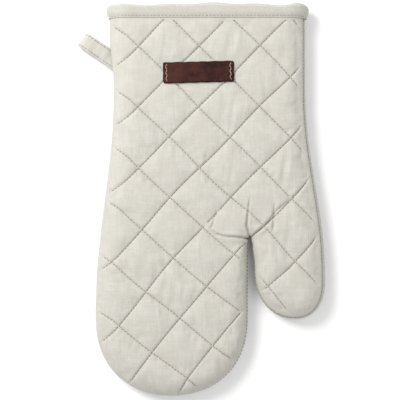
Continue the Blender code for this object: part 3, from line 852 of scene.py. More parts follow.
def shell(name, panel, outer, inner, pattern, side):
    """A closed sheet between two sets of points on the same flat panel."""
    count = len(outer)
    faces = [f if side == FRONT else f[::-1] for f in panel.faces]
    under = [[count + v for v in f[::-1]] for f in faces]
    walls = [(a, b, count + b, count + a) for a, b in panel.rim]
    walls = [w[::-1] if side == FRONT else w for w in walls]
    mesh = bpy.data.meshes.new(name)
    mesh.from_pydata(np.vstack((outer, inner)).tolist(), [], faces + under + walls)
    mesh.shade_smooth()
    store_pattern(mesh, np.vstack((pattern, pattern)))
    return link(name, mesh)


def solid(name, points, faces, pattern):
    """A closed mesh whose faces all look outwards."""
    mesh = bpy.data.meshes.new(name)
    mesh.from_pydata([tuple(p) for p in points], [], faces)
    shaped = bmesh.new()
    shaped.from_mesh(mesh)
    bmesh.ops.recalc_face_normals(shaped, faces=shaped.faces)
    shaped.to_mesh(mesh)
    shaped.free()
    mesh.shade_smooth()
    store_pattern(mesh, np.array(pattern))
    return link(name, mesh)


def strips(rows, count, first=0, closed=False):
    """Faces between rings of count points that follow one another."""
    faces = []
    for i in range(rows if closed else rows - 1):
        j = (i + 1) % rows
        for k in range(count):
            m = (k + 1) % count
            faces.append((i * count + k, i * count + m, j * count + m, j * count + k))
    return [tuple(first + v for v in face) for face in faces]


def store_pattern(mesh, pattern):
    """Keeps where each point lies on the flat cloth, for the weave to follow."""
    flat = np.zeros((len(mesh.vertices), 3), np.float32)
    flat[:, :pattern.shape[1]] = pattern
    mesh.attributes.new("pattern", "FLOAT_VECTOR", "POINT").data.foreach_set("vector", flat.ravel())


def link(name, mesh):
    made = bpy.data.objects.new(name, mesh)
    bpy.context.scene.collection.objects.link(made)
    return made


def bend(made, section):
    """Bakes the piece's place into its mesh; nothing bends. For the thumb, the way across its fold is
    worked out and left unused.
    """
    if section == "thumb":
        axis = Vector(JOINTS["thumb_fold"]["axis"])
        away = Vector((-axis.y, axis.x, 0)).normalized()
        if away.y > 0:
            away.negate()
        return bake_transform(made)
    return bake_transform(made)


# Materials


class Nodes:
    """A short way to write a material's nodes."""

    def __init__(self, name):
        self.material = bpy.data.materials.new(name)
        self.material.use_nodes = True
        self.tree = self.material.node_tree
        self.shader = self.tree.nodes["Principled BSDF"]

    def add(self, kind, **inputs):
        node = self.tree.nodes.new(kind)
        return self.feed(node, inputs)

    def feed(self, node, inputs):
        for key, value in inputs.items():
            if hasattr(node, key):
                setattr(node, key, value)
                continue
            numbered = key[0] == "i" and key[1:].isdigit()
            socket = node.inputs[int(key[1:]) if numbered else key.replace("_", " ")]
            if isinstance(value, bpy.types.NodeSocket):
                self.tree.links.new(value, socket)
            else:
                socket.default_value = value
        return node

    def pattern(self):
        """Where each point lies on its unstretched cloth."""
        return self.add("ShaderNodeAttribute", attribute_name="pattern").outputs["Vector"]

    def maths(self, operation, a, b=0.0):
        return self.add("ShaderNodeMath", operation=operation, i0=a, i1=b).outputs[0]

    def scaled(self, vector, scale):
        node = self.add("ShaderNodeVectorMath", operation="MULTIPLY", i0=vector, i1=scale)
        return node.outputs[0]

    def noise(self, vector, scale, detail=2.0, roughness=0.5):
        settings = {"Vector": vector, "Scale": scale, "Detail": detail, "Roughness": roughness}
        return self.add("ShaderNodeTexNoise", **settings).outputs["Fac"]

    def ranged(self, value, low, high, to_low=0.0, to_high=1.0):
        node = self.add("ShaderNodeMapRange", interpolation_type="SMOOTHSTEP")
        for socket, number in zip(node.inputs, (value, low, high, to_low, to_high)):
            if isinstance(number, bpy.types.NodeSocket):
                self.tree.links.new(number, socket)
            else:
                socket.default_value = number
        return node.outputs[0]

    def mix(self, factor, a, b):
        node = self.tree.nodes.new("ShaderNodeMix")
        node.data_type = "RGBA"
        for index, value in ((0, factor), (6, a), (7, b)):
            if isinstance(value, bpy.types.NodeSocket):
                self.tree.links.new(value, node.inputs[index])
            else:
                node.inputs[index].default_value = value
        return node.outputs[2]

    def bump(self, height, distance, strength=1.0):
        return self.add("ShaderNodeBump", Height=height, Distance=distance, Strength=strength).outputs[0]

    def finish(self, colour, roughness, normal=None):
        links = (("Base Color", colour), ("Roughness", roughness), ("Normal", normal))
        for socket, value in links:
            if isinstance(value, bpy.types.NodeSocket):
                self.tree.links.new(value, self.shader.inputs[socket])
            elif value is not None:
                self.shader.inputs[socket].default_value = value
        return self.material


def shade(rgb, factor=1.0):
    return (*[min(1.0, c * factor) for c in rgb], 1)


def weave(name, warm, pale, thread_width, contrast=1.0, slubs=1.0):
    """Plain woven cloth: crossing threads of uneven thickness, with slubs and a mottled dye."""
    n = Nodes(name)
    cloth = n.pattern()
    waver = n.noise(cloth, 260, 2)
    shift = n.maths("MULTIPLY", n.maths("SUBTRACT", waver, 0.5), thread_width * 1.6)
    parts = n.add("ShaderNodeSeparateXYZ", Vector=cloth)
    x = n.maths("ADD", parts.outputs[0], shift)
    y = n.maths("ADD", parts.outputs[1], shift)
    turn = math.pi / thread_width
    warp = n.maths("ABSOLUTE", n.maths("SINE", n.maths("MULTIPLY", x, turn)))
    weft = n.maths("ABSOLUTE", n.maths("SINE", n.maths("MULTIPLY", y, turn)))
    across, up = (n.maths("SINE", n.maths("MULTIPLY", place, turn)) for place in (x, y))
    over = n.maths("MULTIPLY", across, up)
    side = n.ranged(over, -0.3, 0.3)
    threads = n.add("ShaderNodeMix", i0=side, i2=warp, i3=weft).outputs[0]
    up_slubs = n.noise(n.scaled(cloth, (1, 0.055, 1)), 1150, 1.5)
    across_slubs = n.noise(n.scaled(cloth, (0.055, 1, 1)), 1150, 1.5)
    long_up = n.noise(n.scaled(cloth, (1, 0.12, 1)), 420, 2)
    slub = n.maths("ADD", *[n.ranged(noise, 0.35, 0.75, -0.5, 0.5) for noise in (up_slubs, across_slubs)])
    slub = n.maths("ADD", slub, n.ranged(long_up, 0.3, 0.7, -0.35, 0.35))
    mottle = n.noise(cloth, 95, 3, 0.6)
    tone = n.maths("ADD", n.maths("MULTIPLY", slub, 0.42 * slubs), n.ranged(mottle, 0.3, 0.7, 0.2, 0.8))
    tone = n.ranged(tone, 0, 1)
    base = n.mix(tone, shade(warm), shade(pale))
    dark = n.mix(n.ranged(threads, 0.1, 0.9), shade(warm, 0.80), shade(pale, 1.04))
    base = n.mix(0.30 * contrast, base, dark)
    patch = n.noise(cloth, 28, 2)
    cool = shade((warm[0] * 1.07, warm[1] * 1.02, warm[2] * 1.07))
    base = n.mix(n.ranged(patch, 0.35, 0.7, 0, 0.35), base, cool)
    height = n.maths("ADD", n.maths("MULTIPLY", threads, 0.6), n.maths("MULTIPLY", slub, 0.5 * slubs))
    n.shader.inputs["Sheen Weight"].default_value = 0.25
    n.shader.inputs["Sheen Roughness"].default_value = 0.5
    n.shader.inputs["Specular IOR Level"].default_value = 0.25
    return n.finish(base, n.ranged(threads, 0, 1, 0.94, 0.84), n.bump(height, 0.00022, 0.8))


def fibre(name, tint):
    """Loose filling: a matted tangle of fibres."""
    n = Nodes(name)
    cloth = n.pattern()
    tangle = n.noise(n.scaled(cloth, (1, 0.2, 1)), 900, 4, 0.7)
    clumps = n.noise(cloth, 120, 3)
    base = n.mix(n.ranged(clumps, 0.3, 0.7), shade(tint, 0.93), shade(tint))
    return n.finish(base, n.ranged(tangle, 0.3, 0.7, 0.9, 1.0), n.bump(tangle, 0.0005, 0.9))


def thread_finish(name, tint):
    """Twisted thread: fine plies across its length."""
    n = Nodes(name)
    cloth = n.pattern()
    parts = n.add("ShaderNodeSeparateXYZ", Vector=cloth)
    slant = n.maths("ADD", parts.outputs[0], n.maths("MULTIPLY", parts.outputs[1], 0.6))
    run = n.maths("MULTIPLY", slant, 9000)
    plies = n.maths("ABSOLUTE", n.maths("SINE", run))
    fuzz = n.noise(cloth, 2400, 2)
    base = n.mix(n.ranged(plies, 0, 1), shade(tint, 0.62), shade(tint, 1.15))
    base = n.mix(n.ranged(fuzz, 0.3, 0.7, 0, 0.4), base, shade(tint, 1.35))
    n.shader.inputs["Sheen Weight"].default_value = 0.15
    return n.finish(base, n.ranged(fuzz, 0.2, 0.8, 0.6, 0.85), n.bump(plies, 0.0001, 0.7))


def leather_finish(colours):
    """Full-grain leather in a clouded tone, lighter at its left end where light is painted on, and
    burnished dark at its edge.
    """
    n = Nodes("label_leather")
    hide = n.pattern()
    edge = n.add("ShaderNodeAttribute", attribute_name="edge").outputs["Fac"]
    grain = n.add("ShaderNodeTexVoronoi", Vector=hide, Scale=1700.0, feature="DISTANCE_TO_EDGE").outputs[0]
    grain = n.ranged(grain, 0, 0.22)
    pores = n.noise(hide, 3200, 2)
    cloud = n.noise(hide, 130, 4, 0.65)
    long_cloud = n.noise(n.scaled(hide, (0.35, 1, 1)), 60, 2)
    base = n.mix(n.ranged(cloud, 0.35, 0.7), shade(colours.leather), shade(colours.leather_warm))
    base = n.mix(n.ranged(long_cloud, 0.4, 0.75, 0, 0.6), base, shade(colours.leather, 0.8))
    creased = n.maths("MULTIPLY", n.maths("SUBTRACT", 1.0, grain), 0.35)
    base = n.mix(creased, base, shade(colours.leather_edge))
    along = n.add("ShaderNodeSeparateXYZ", Vector=hide).outputs[0]
    middle = (LABEL_LOW.x + LABEL_HIGH.x) / 2
    # Painted light: the label's left end is made lighter up to its middle, standing in for the light from
    # the left.
    painted_light_left = n.ranged(along, middle - 0.020, middle, 1.0, 0.0)
    base = n.mix(n.maths("MULTIPLY", painted_light_left, 0.40), base, shade(colours.leather_warm, 1.15))
    base = n.mix(n.ranged(edge, 0.25, 1.0), base, shade(colours.leather_edge))
    rough = n.maths("ADD", n.ranged(cloud, 0.3, 0.7, 0.34, 0.5), n.maths("MULTIPLY", pores, 0.12))
    height = n.maths("ADD", n.maths("MULTIPLY", grain, 0.7), n.maths("MULTIPLY", pores, 0.3))
    n.shader.inputs["Specular IOR Level"].default_value = 0.06
    return n.finish(base, rough, n.bump(height, 0.00016, 0.7))


def kept(name, make, *details):
    """A material made once and shared."""
    return bpy.data.materials.get(name) or make(*details)


def linen():
    colours = bpy.context.scene.mitt_colours
    return kept("outer_linen", weave, "outer_linen", colours.linen, colours.linen_pale, 0.00062)


def dress(made, material):
    made.data.materials.clear()
    made.data.materials.append(material)
    return made


# The pieces

SECTIONS = {"hand": ("hand", "fingers"), "thumb": ("thumb",)}
SIDE_NAMES = {FRONT: "front", BACK: "back"}
MADE = {}


def layout():
    """The outline, the quilting and both sides' relief, worked out once."""
    if "outline" not in MADE:
        scene = bpy.context.scene
        MADE["outline"] = Outline(scene.mitt_shape)
        MADE["quilting"] = Quilting(scene.mitt_quilting)
        for side in (FRONT, BACK):
            relief = Relief(MADE["outline"], MADE["quilting"], side)
            relief.simulate()
            MADE[side] = relief
    return MADE["outline"], MADE["quilting"]


def cad_nodes(side, layer, section):
    return [f"{SIDE_NAMES[side]}_{layer}_{name}" for name in SECTIONS[section]]


BINDING_TUCK = 0.0028  # how far the cloth's raw ends stop short inside the binding


def add_panels(side, layer, material, depth, thickness, fine):
    """One layer of one side, as a mesh for the hand with its fingers and one for the thumb."""
    outline, quilting = layout()
    relief = MADE[side]
    pieces = []
    for section in SECTIONS:
        key = ("flat", section, fine)
        if key not in MADE:
            MADE[key] = FlatPanel(outline, quilting, section, fine)
        panel = MADE[key]
        place, normal, pattern = roll_up(outline, panel.points, side, depth)
        lower, low_normal, _ = roll_up(outline, panel.points, side, depth + thickness)
        for points in (place, lower):
            points[:, 1] -= BINDING_TUCK * smooth(points[:, 1], BINDING_LOW.y + 0.001, BINDING_HIGH.y)
        if layer == "lining":
            height = under = np.zeros(len(panel.points))
        elif layer == "wadding":
            height = relief.heights(panel.points, fine=False) - 0.0010
            if side == FRONT:
                height -= 0.0016 * np.exp(-((np.linalg.norm(panel.points - CROTCH, axis=1) / 0.030) ** 2))
            height = np.clip(height, -0.75 * thickness, 0.002)
            under = np.zeros(len(height))
        else:
            height = relief.heights(panel.points)
            under = height
        made = shell(
            f"{SIDE_NAMES[side]}_{layer}_{section}_cloth",
            panel,
            place + normal * height[:, None],
            lower + low_normal * under[:, None],
            pattern,
            side,
        )
        dress(made, material)
        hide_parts(*cad_nodes(side, layer, section))
        bend(made, section)
        pieces.append(made)
    return pieces


def tube(name, paths, radius, sides=6):
    """Round threads, one along each path of points, closed at both ends, as one mesh."""
    points, faces, pattern = [], [], []
    ring = [(math.cos(math.tau * k / sides), math.sin(math.tau * k / sides)) for k in range(sides)]
    for path, up, radii in paths:
        first = len(points)
        along = unit(np.gradient(path, axis=0))
        across = unit(np.cross(along, up))
        top = np.cross(across, along)
        for i in range(len(path)):
            for c, s in ring:
                points.append(path[i] + radius * radii[i] * (c * across[i] + s * top[i]))
                pattern.append(path[i])
        faces += strips(len(path), sides, first)
        faces.append(tuple(first + k for k in range(sides))[::-1])
        faces.append(tuple(first + (len(path) - 1) * sides + k for k in range(sides)))
    return solid(name, points, faces, pattern)


STITCH_PROFILE = (  # place along a stitch, height over the cloth in radii, and thickness
    (-0.5, -0.9, 0.55),
    (-0.36, 0.25, 0.95),
    (0, 0.62, 1.0),
    (0.36, 0.25, 0.95),
    (0.5, -0.9, 0.55),
)


def stitches(run, normals, sizes, radius, lift=0.0):
    """Stitches one after another along a run of points that lie on the cloth."""
    lengths = run_length(run)
    pitch = sizes.stitch + sizes.stitch_gap
    made = []
    for middle in np.arange(pitch / 2, lengths[-1] - pitch / 2, pitch):
        places = [middle + share * sizes.stitch for share, _, _ in STITCH_PROFILE]
        path = np.column_stack([np.interp(places, lengths, run[:, axis]) for axis in range(3)])
        up = np.column_stack([np.interp(places, lengths, normals[:, axis]) for axis in range(3)])
        heights = np.array([h for _, h, _ in STITCH_PROFILE]) * radius + lift
        made.append((path + up * heights[:, None], up, [r for _, _, r in STITCH_PROFILE]))
    return made


def add_quilting_thread(side, material):
    """Lines of stitches in the valleys, for the hand with its fingers and for the thumb."""
    outline, quilting = layout()
    sizes = quilting.sizes
    values = np.array(quilting.lines_at(outline.points))
    low, high = np.floor(values.min(1)).astype(int), np.ceil(values.max(1)).astype(int)
    fine = 1 / 40
    for section in SECTIONS:
        loop = MADE[("flat", section, True)].loop
        paths = []
        for family in (0, 1):
            other = 1 - family
            for line in range(low[family], high[family] + 1):
                run = np.arange(low[other], high[other], fine)
                grid = [None, None]
                grid[family] = np.full(len(run), float(line))
                grid[other] = run
                flat = quilting.of_lines(*grid)
                on_split = family == 0 and line == round(float(quilting.lines_at(CROTCH[None])[0][0]))
                nudged = flat + (-0.0003, 0.0003) if on_split else flat
                inset, _, _, seam = outline.foot(flat)
                from_crotch = np.linalg.norm(flat - CROTCH, axis=1)
                rim = 0.0022 + 0.0038 * smooth(from_crotch, 0.008, 0.025)
                inside = inside_polygon(nudged, loop) & (inset > rim + 0.004 * np.clip(-side * seam, 0, 1))
                inside &= flat[:, 1] < BINDING_LOW.y - 0.0012
                inside &= side == BACK or ~under_label(flat)
                inside &= (family == 1) | (line <= quilting.last_rising(flat))
                for part in np.split(np.arange(len(run)), np.flatnonzero(~inside)):
                    part = part[inside[part]]
                    if len(part) < 4:
                        continue
                    place, normal, _ = roll_up(outline, flat[part], side)
                    place += normal * MADE[side].heights(flat[part])[:, None]
                    paths += stitches(place, normal, sizes, sizes.thread / 2)
        made = tube(f"{SIDE_NAMES[side]}_quilting_thread_{section}", paths, sizes.thread / 2)
        dress(made, material)
        bend(made, section)


def under_label(flat):
    inside = (flat[:, 0] > LABEL_LOW.x) & (flat[:, 0] < LABEL_HIGH.x)
    return inside & (flat[:, 1] > LABEL_LOW.y) & (flat[:, 1] < LABEL_HIGH.y)


def add_seam_thread(material):
    """The thread that closes the side seam, deep between the two panels."""
    outline, quilting = layout()
    sizes = quilting.sizes
    last = split_line(outline, quilting)[1]
    points = outline.points
    parts = {
        "hand": [points[4:outline.apex + 1], points[last:-8]],
        "thumb": [points[outline.apex:last + 1]],
    }
    for section, runs in parts.items():
        paths = []
        for flat in runs:
            front, normal, _ = roll_up(outline, flat, FRONT)
            back, other, _ = roll_up(outline, flat, BACK)
            normal = unit((normal + other) / 2)
            place = (front + back) / 2 - normal * 0.0004
            paths += stitches(place, normal, sizes, sizes.thread * 0.6)
        made = tube(f"side_seam_thread_{section}", paths, sizes.thread * 0.6)
        dress(made, material)
        bend(made, section)


# The cuff


def mouth_section(outline, depth):
    """The cuff's closed cross-section this deep in its wall, over the front and under the back."""
    shape = outline.shape
    left, right = outline.points[0][0], outline.points[-1][0]
    loop = []
    for side in (FRONT, BACK):
        tall = (shape.front_height if side == FRONT else shape.back_height - shape.cuff_step) - depth
        for corner, x, inward in ((0, left, 1), (-1, right, -1)):
            seam = outline.seam_angle[corner]
            angles = np.linspace(seam, side * math.pi / 2, 14)
            inset = depth + (1 - np.cos(angles)) * (outline.roll[corner] - depth)
            z = SEAM_HEIGHT + side * shape.fit_gap / 2 + tall * np.sin(angles)
            arc = np.column_stack((x + inward * inset, z))
            loop.append(arc)
    front_flat = np.linspace(loop[0][-1], loop[1][-1], 70)[1:-1]
    back_flat = np.linspace(loop[3][-1], loop[2][-1], 70)[1:-1]
    return np.vstack((loop[0], front_flat, loop[1][::-1], loop[3][1:], back_flat, loop[2][::-1][:-1]))


BINDING_ROUND = 0.0035  # height of the binding's rounded top
BINDING_FLARE = 0.013  # how much wider it is at the top
BINDING_WAVES = ((0.0007, 61, 0.8), (0.0005, 173, 0))  # height, turns over a metre and start
BINDING_BUMP = (0.0011, 0.078, 0.006)  # where the binding's ends overlap: height, place and reach


def add_binding(material):
    """The strip that wraps the mouth's raw edge, a little puffed, with a soft rounded top."""
    outline, _ = layout()
    shape = outline.shape
    trim = bpy.context.scene.mitt_trim
    wall = shape.outer + shape.wadding + shape.lining + 2 * shape.fit_gap
    low, high = BINDING_LOW.y, BINDING_HIGH.y
    outside = -shape.fit_gap - trim.binding_cover
    inside = wall + shape.fit_gap + trim.binding_cover
    middle, half = (outside + inside) / 2, (inside - outside) / 2
    top_run = BINDING_ROUND
    stitch_y = low + trim.topstitch_inset
    profile = [(low, outside + trim.binding_cover * 0.9, 0), (low + 0.0001, outside + 0.0002, 0)]
    for y in np.linspace(low + 0.0004, high - top_run, 12):
        sewn = math.exp(-((y - stitch_y) / 0.0008) ** 2)
        puff = smooth(np.array(y), low + 0.001, low + 0.005)
        profile.append((y, outside + 0.0006 * sewn - 0.0007 * float(puff), y - low))
    for a in np.linspace(0, math.pi, 13)[1:-1]:
        y = high - top_run + top_run * math.sin(a)
        profile.append((y, middle - (half + 0.0004) * math.cos(a), 0.02))
    for y in np.linspace(high - top_run, low, 8):
        profile.append((y, inside, high - y))
    profile.append((low, inside - trim.binding_cover, 0))
    inner_top = high - trim.binding_cover
    for y in np.linspace(low + 0.001, inner_top - 0.0015, 5):
        profile.append((y, inside - trim.binding_cover, 0))
    for y in np.linspace(inner_top - 0.0015, low + 0.001, 5):
        profile.append((y, outside + trim.binding_cover, 0))
    loops = [mouth_section(outline, depth) for _, depth, _ in profile]
    count = len(loops[0])
    xs = loops[0][:, 0]
    run = run_length(loops[2])
    points, pattern = [], []
    for (y, _, up), loop in zip(profile, loops):
        share = (y - low) / (high - low)
        wave = sum(tall * np.sin(xs * turns + start) for tall, turns, start in BINDING_WAVES) * share
        bump_height, place, reach = BINDING_BUMP
        bump = bump_height * np.exp(-((xs - place) / reach) ** 2) * share
        flare = 1 + BINDING_FLARE * share
        centre = (xs.min() + xs.max()) / 2
        x = centre + (loop[:, 0] - centre) * flare
        lift = (wave + bump) * float(smooth(np.array(share), 0.3, 1.0))
        points += list(np.column_stack((x, np.full(count, y) + lift, loop[:, 1])))
        pattern += list(np.column_stack((run, np.full(count, y + up), np.zeros(count))))
    made = solid("mouth_binding", points, strips(len(profile), count, closed=True), pattern)
    dress(made, material)
    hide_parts("cuff_binding")
    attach(made, "hand")


def add_topstitch(material):
    outline, quilting = layout()
    trim = bpy.context.scene.mitt_trim
    loop = mouth_section(outline, -outline.shape.fit_gap - trim.binding_cover + 0.0006)
    height = np.full(len(loop), BINDING_LOW.y + trim.topstitch_inset)
    run = np.column_stack((loop[:, 0], height, loop[:, 1]))
    run = np.vstack((run, run[:1]))
    along = np.gradient(run, axis=0)
    normal = unit(np.cross(along, (0, -1, 0)))
    middle = run.mean(0)
    normal *= np.sign(((run - middle) * normal).sum(1))[:, None]
    sizes = quilting.sizes
    made = tube("cuff_topstitch", stitches(run, normal, sizes, sizes.thread * 0.55), sizes.thread * 0.55)
    dress(made, material)
    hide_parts("binding_topstitch")
    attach(made, "hand")


# The label

LABEL_CORNER = 0.0012  # radius of its corners
LABEL_EDGE = 0.0011  # width of its rounded edge
LABEL_RUBBED = 0.0016  # width of its burnished edge
LABEL_ZIGZAGS = 6


def label_point(x, y, z):
    """A point given along, across and up from the label's middle."""
    turn = bpy.context.scene.mitt_trim.label_turn
    middle = (LABEL_LOW + LABEL_HIGH) / 2
    return Vector((
        middle.x + x * math.cos(turn) - y * math.sin(turn),
        middle.y + x * math.sin(turn) + y * math.cos(turn),
        LABEL_LOW.z + z,
    ))


def add_label(material):
    """A slab of leather with soft edges, dented by its stitching and lightly bowed."""
    trim = bpy.context.scene.mitt_trim
    thick = LABEL_HIGH.z - LABEL_LOW.z
    half = (trim.label_length / 2, trim.label_width / 2)
    shaped = bmesh.new()
    bmesh.ops.create_grid(shaped, x_segments=92, y_segments=30, size=1)
    edge_values = {}
    corner = LABEL_CORNER
    for v in shaped.verts:
        x, y = v.co.x * half[0], v.co.y * half[1]
        dx, dy = half[0] - abs(x), half[1] - abs(y)
        if dx < corner and dy < corner:
            away = math.hypot(corner - dx, corner - dy)
            if away > corner:
                pull = corner / away
                x = math.copysign(half[0] - corner + (corner - dx) * pull, x)
                y = math.copysign(half[1] - corner + (corner - dy) * pull, y)
                away = corner
            inset = corner - away
        else:
            inset = min(dx, dy)
        near = min(inset / LABEL_EDGE, 1)
        rise = thick * (0.45 + 0.55 * math.sqrt(max(0, 1 - (1 - near) ** 2)))
        stitch_x = half[0] - trim.label_stitch_inset
        dent = 0.00035 * math.exp(-(((abs(x) - stitch_x) / 0.0012) ** 2))
        wave = 0.00022 * math.sin(x * 190 + 1) * math.cos(y * 150) + 0.0002 * math.cos(x * 75)
        wear = 0.00012 * math.sin(x * 620 + 2 * math.sin(y * 400)) * (1 - near)
        v.co = label_point(x + wear, y + wear, rise - dent + wave * near)
        edge_values[v.index] = max(0, 1 - inset / LABEL_RUBBED)
    faces = shaped.faces[:]
    made = bmesh.ops.extrude_face_region(shaped, geom=faces)
    under = [g for g in made["geom"] if isinstance(g, bmesh.types.BMVert)]
    for v in under:
        v.co.z = LABEL_LOW.z + 0.0001
    bmesh.ops.recalc_face_normals(shaped, faces=shaped.faces)
    # The extrusion makes the side faces in an order that changes from run to run
    order = Vector((1, 0.0137, 0.00071))
    shaped.faces.sort(key=lambda face: face.calc_center_median().dot(order))
    mesh = bpy.data.meshes.new("label_leather")
    shaped.to_mesh(mesh)
    shaped.free()
    mesh.shade_smooth()
    mesh.set_sharp_from_angle(angle=math.radians(60))
    pattern = np.array([tuple(v.co) for v in mesh.vertices])
    store_pattern(mesh, pattern)
    values = [edge_values.get(v.index, 1) for v in mesh.vertices]
    mesh.attributes.new("edge", "FLOAT", "POINT").data.foreach_set("value", values)
    made = dress(link("label_hide", mesh), material)
    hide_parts("leather_label")
    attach(made, "hand")


def add_label_stitches(material):
    """A zigzag of thread at each end of the label."""
    trim = bpy.context.scene.mitt_trim
    thick = LABEL_HIGH.z - LABEL_LOW.z
    sizes = bpy.context.scene.mitt_quilting
    reach = trim.label_length / 2 - trim.label_stitch_inset
    for name, sign in (("left", -1), ("right", 1)):
        span = trim.label_width - 0.0032
        paths = []
        for k in range(LABEL_ZIGZAGS):
            low = -span / 2 + span * k / LABEL_ZIGZAGS
            high = low + span / LABEL_ZIGZAGS
            slant = 0.0006 if k % 2 else -0.0006
            path = []
            for t in np.linspace(0, 1, 7):
                lift = -0.0003 + 0.00065 * math.sin(math.pi * t) ** 0.7
                x = sign * reach + slant * (2 * t - 1)
                path.append(label_point(x, low + (high - low) * t, thick - 0.0003 + lift))
            paths.append((np.array(path), np.tile((0.0, 0.0, 1.0), (7, 1)), [0.7, 1, 1, 1, 1, 1, 0.7]))
        made = tube(f"label_thread_{name}", paths, sizes.thread * 0.55)
        dress(made, material)
        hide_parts(f"label_stitch_{name}")
        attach(made, "hand")


# The hanging loop

TAPE_STITCH_INSET = 0.0016  # from the tape's edge to its stitching
TAPE_DIP = 0.00022  # how deep the stitching draws it in


def loop_path(trim, count=60):
    """Side view of the folded tape's middle: along from the seam and up, round the fold, and back."""
    half_root = 0.0004 + trim.tape_thickness / 2
    radius = trim.loop_bend - trim.tape_thickness / 2
    bend_at = trim.loop_reach - trim.loop_bend
    start = -0.004
    along = np.linspace(start, bend_at, count)
    rise = half_root + (radius - half_root) * smooth(along, 0.002, bend_at)
    lower = np.column_stack((along, -rise))
    turn = np.linspace(-math.pi / 2, math.pi / 2, 17)[1:-1]
    fold = np.column_stack((bend_at + radius * np.cos(turn), radius * np.sin(turn)))
    upper = np.column_stack((along, rise))[::-1]
    return np.vstack((lower, fold, upper))


def add_loop(material, thread):
    trim = bpy.context.scene.mitt_trim
    seam = LOOP_HINGE + Vector((trim.loop_hinge_out, 0, 0))
    way = Vector((-math.cos(trim.loop_rise), math.sin(trim.loop_rise), 0))
    across = Vector((way.y, -way.x, 0))
    path = loop_path(trim)
    along = unit(np.gradient(path, axis=0))
    normal = np.column_stack((along[:, 1], -along[:, 0]))
    run = run_length(path)
    half = trim.tape_width / 2
    widths = np.linspace(-1, 1, 23)
    rim = np.sqrt(np.clip(1 - ((np.abs(widths) - 0.93) / 0.07).clip(0) ** 2, 0.05, 1))
    stitch_rows = 1 - TAPE_STITCH_INSET / half
    dip = TAPE_DIP * np.exp(-(((np.abs(widths) - stitch_rows) / 0.09) ** 2))
    section = [(w * half, rim[i] * trim.tape_thickness / 2 - dip[i]) for i, w in enumerate(widths)]
    ring = section + [(w, -h) for w, h in reversed(section)]
    points, pattern = [], []
    for i, (a, up) in enumerate(path):
        for w, h in ring:
            ripple = 0.00018 * math.sin(run[i] * 420 + w * 200) + 0.00012 * math.sin(run[i] * 900)
            edge = 1 + 0.012 * math.sin(run[i] * 510)
            p = seam + way * (a + normal[i, 0] * h) + across * w * edge
            points.append((p.x, p.y, seam.z + up + normal[i, 1] * h + ripple))
            pattern.append((run[i], w, 0))
    count = len(ring)
    ends = [range(count), range((len(path) - 1) * count, len(path) * count)]
    made = solid("hanging_tape", points, strips(len(path), count) + [tuple(end) for end in ends], pattern)
    dress(made, material)
    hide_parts("hanging_loop", "hanging_loop_root")
    paths = []
    sizes = bpy.context.scene.mitt_quilting
    for sign in (-1, 1):
        w = sign * stitch_rows * half
        height = trim.tape_thickness / 2 - TAPE_DIP
        line = [
            seam + way * (a + n[0] * height) + across * w + Vector((0, 0, up + n[1] * height))
            for (a, up), n in zip(path, normal)
        ]
        ups = [tuple(way * n[0] + Vector((0, 0, n[1]))) for n in normal]
        paths += stitches(np.array([tuple(p) for p in line]), np.array(ups), sizes, sizes.thread * 0.5)
    sewn = dress(tube("tape_edge_stitching", paths, sizes.thread * 0.5), thread)
    for tape in (made, sewn):
        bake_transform(tape)


# The operators


class MITT_OT_outer_panels(bpy.types.Operator):
    """Quilted linen outers, front and back"""

    bl_idname = "mitt.outer_panels"
    bl_label = "Outer panels"

    def execute(self, context):
        shape = context.scene.mitt_shape
        for side in (FRONT, BACK):
            for made in add_panels(side, "outer", linen(), 0.0, shape.outer, True):
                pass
        return {"FINISHED"}


class MITT_OT_inner_layers(bpy.types.Operator):
    """Wadding and lining, front and back"""

    bl_idname = "mitt.inner_layers"
    bl_label = "Wadding and lining"

    def execute(self, context):
        shape, colours = context.scene.mitt_shape, context.scene.mitt_colours
        filling = fibre("wadding_fibre", colours.wadding)
        warm, pale = (shade(colours.lining, factor)[:3] for factor in (0.95, 1.06))
        cotton = weave("lining_cotton", warm, pale, 0.0004, 0.6, 0.3)
        wadding_depth = shape.outer + shape.fit_gap
        lining_depth = wadding_depth + shape.wadding + shape.fit_gap
        for side in (FRONT, BACK):
            wads = add_panels(side, "wadding", filling, wadding_depth, shape.wadding, False)
            add_panels(side, "lining", cotton, lining_depth, shape.lining, False)
        return {"FINISHED"}


class MITT_OT_sewing_thread(bpy.types.Operator):
    """Quilting stitches and the side seam's thread"""

    bl_idname = "mitt.sewing_thread"
    bl_label = "Sewing thread"

    def execute(self, context):
        thread = thread_finish("quilting_thread", context.scene.mitt_colours.linen_thread)
        for side in (FRONT, BACK):
            add_quilting_thread(side, thread)
        add_seam_thread(thread_finish("seam_thread", context.scene.mitt_colours.seam_thread))
        return {"FINISHED"}


class MITT_OT_cuff_binding(bpy.types.Operator):
    """The binding round the mouth and its topstitching"""

    bl_idname = "mitt.cuff_binding"
    bl_label = "Cuff binding"

    def execute(self, context):
        colours = context.scene.mitt_colours
        add_binding(weave("binding_linen", colours.linen, colours.linen_pale, 0.00062, 1.0, 0.8))
        add_topstitch(thread_finish("topstitch_thread", colours.topstitch))
        return {"FINISHED"}


class MITT_OT_leather_label(bpy.types.Operator):
    """The leather label and the thread at its ends"""

    bl_idname = "mitt.leather_label"
    bl_label = "Leather label"

    def execute(self, context):
        colours = context.scene.mitt_colours
        add_label(leather_finish(colours))
        add_label_stitches(thread_finish("label_thread", colours.label_thread))
        return {"FINISHED"}


class MITT_OT_hanging_loop(bpy.types.Operator):
    """The folded tape loop at the side seam"""

    bl_idname = "mitt.hanging_loop"
    bl_label = "Hanging loop"

    def execute(self, context):
        colours = context.scene.mitt_colours
        warm, pale = (shade(tone, 1.04)[:3] for tone in (colours.linen, colours.linen_pale))
        tape = weave("tape_linen", warm, pale, 0.00055, 1.2, 0.5)
        add_loop(tape, thread_finish("tape_thread", shade(colours.linen_thread, 1.35)[:3]))
        return {"FINISHED"}


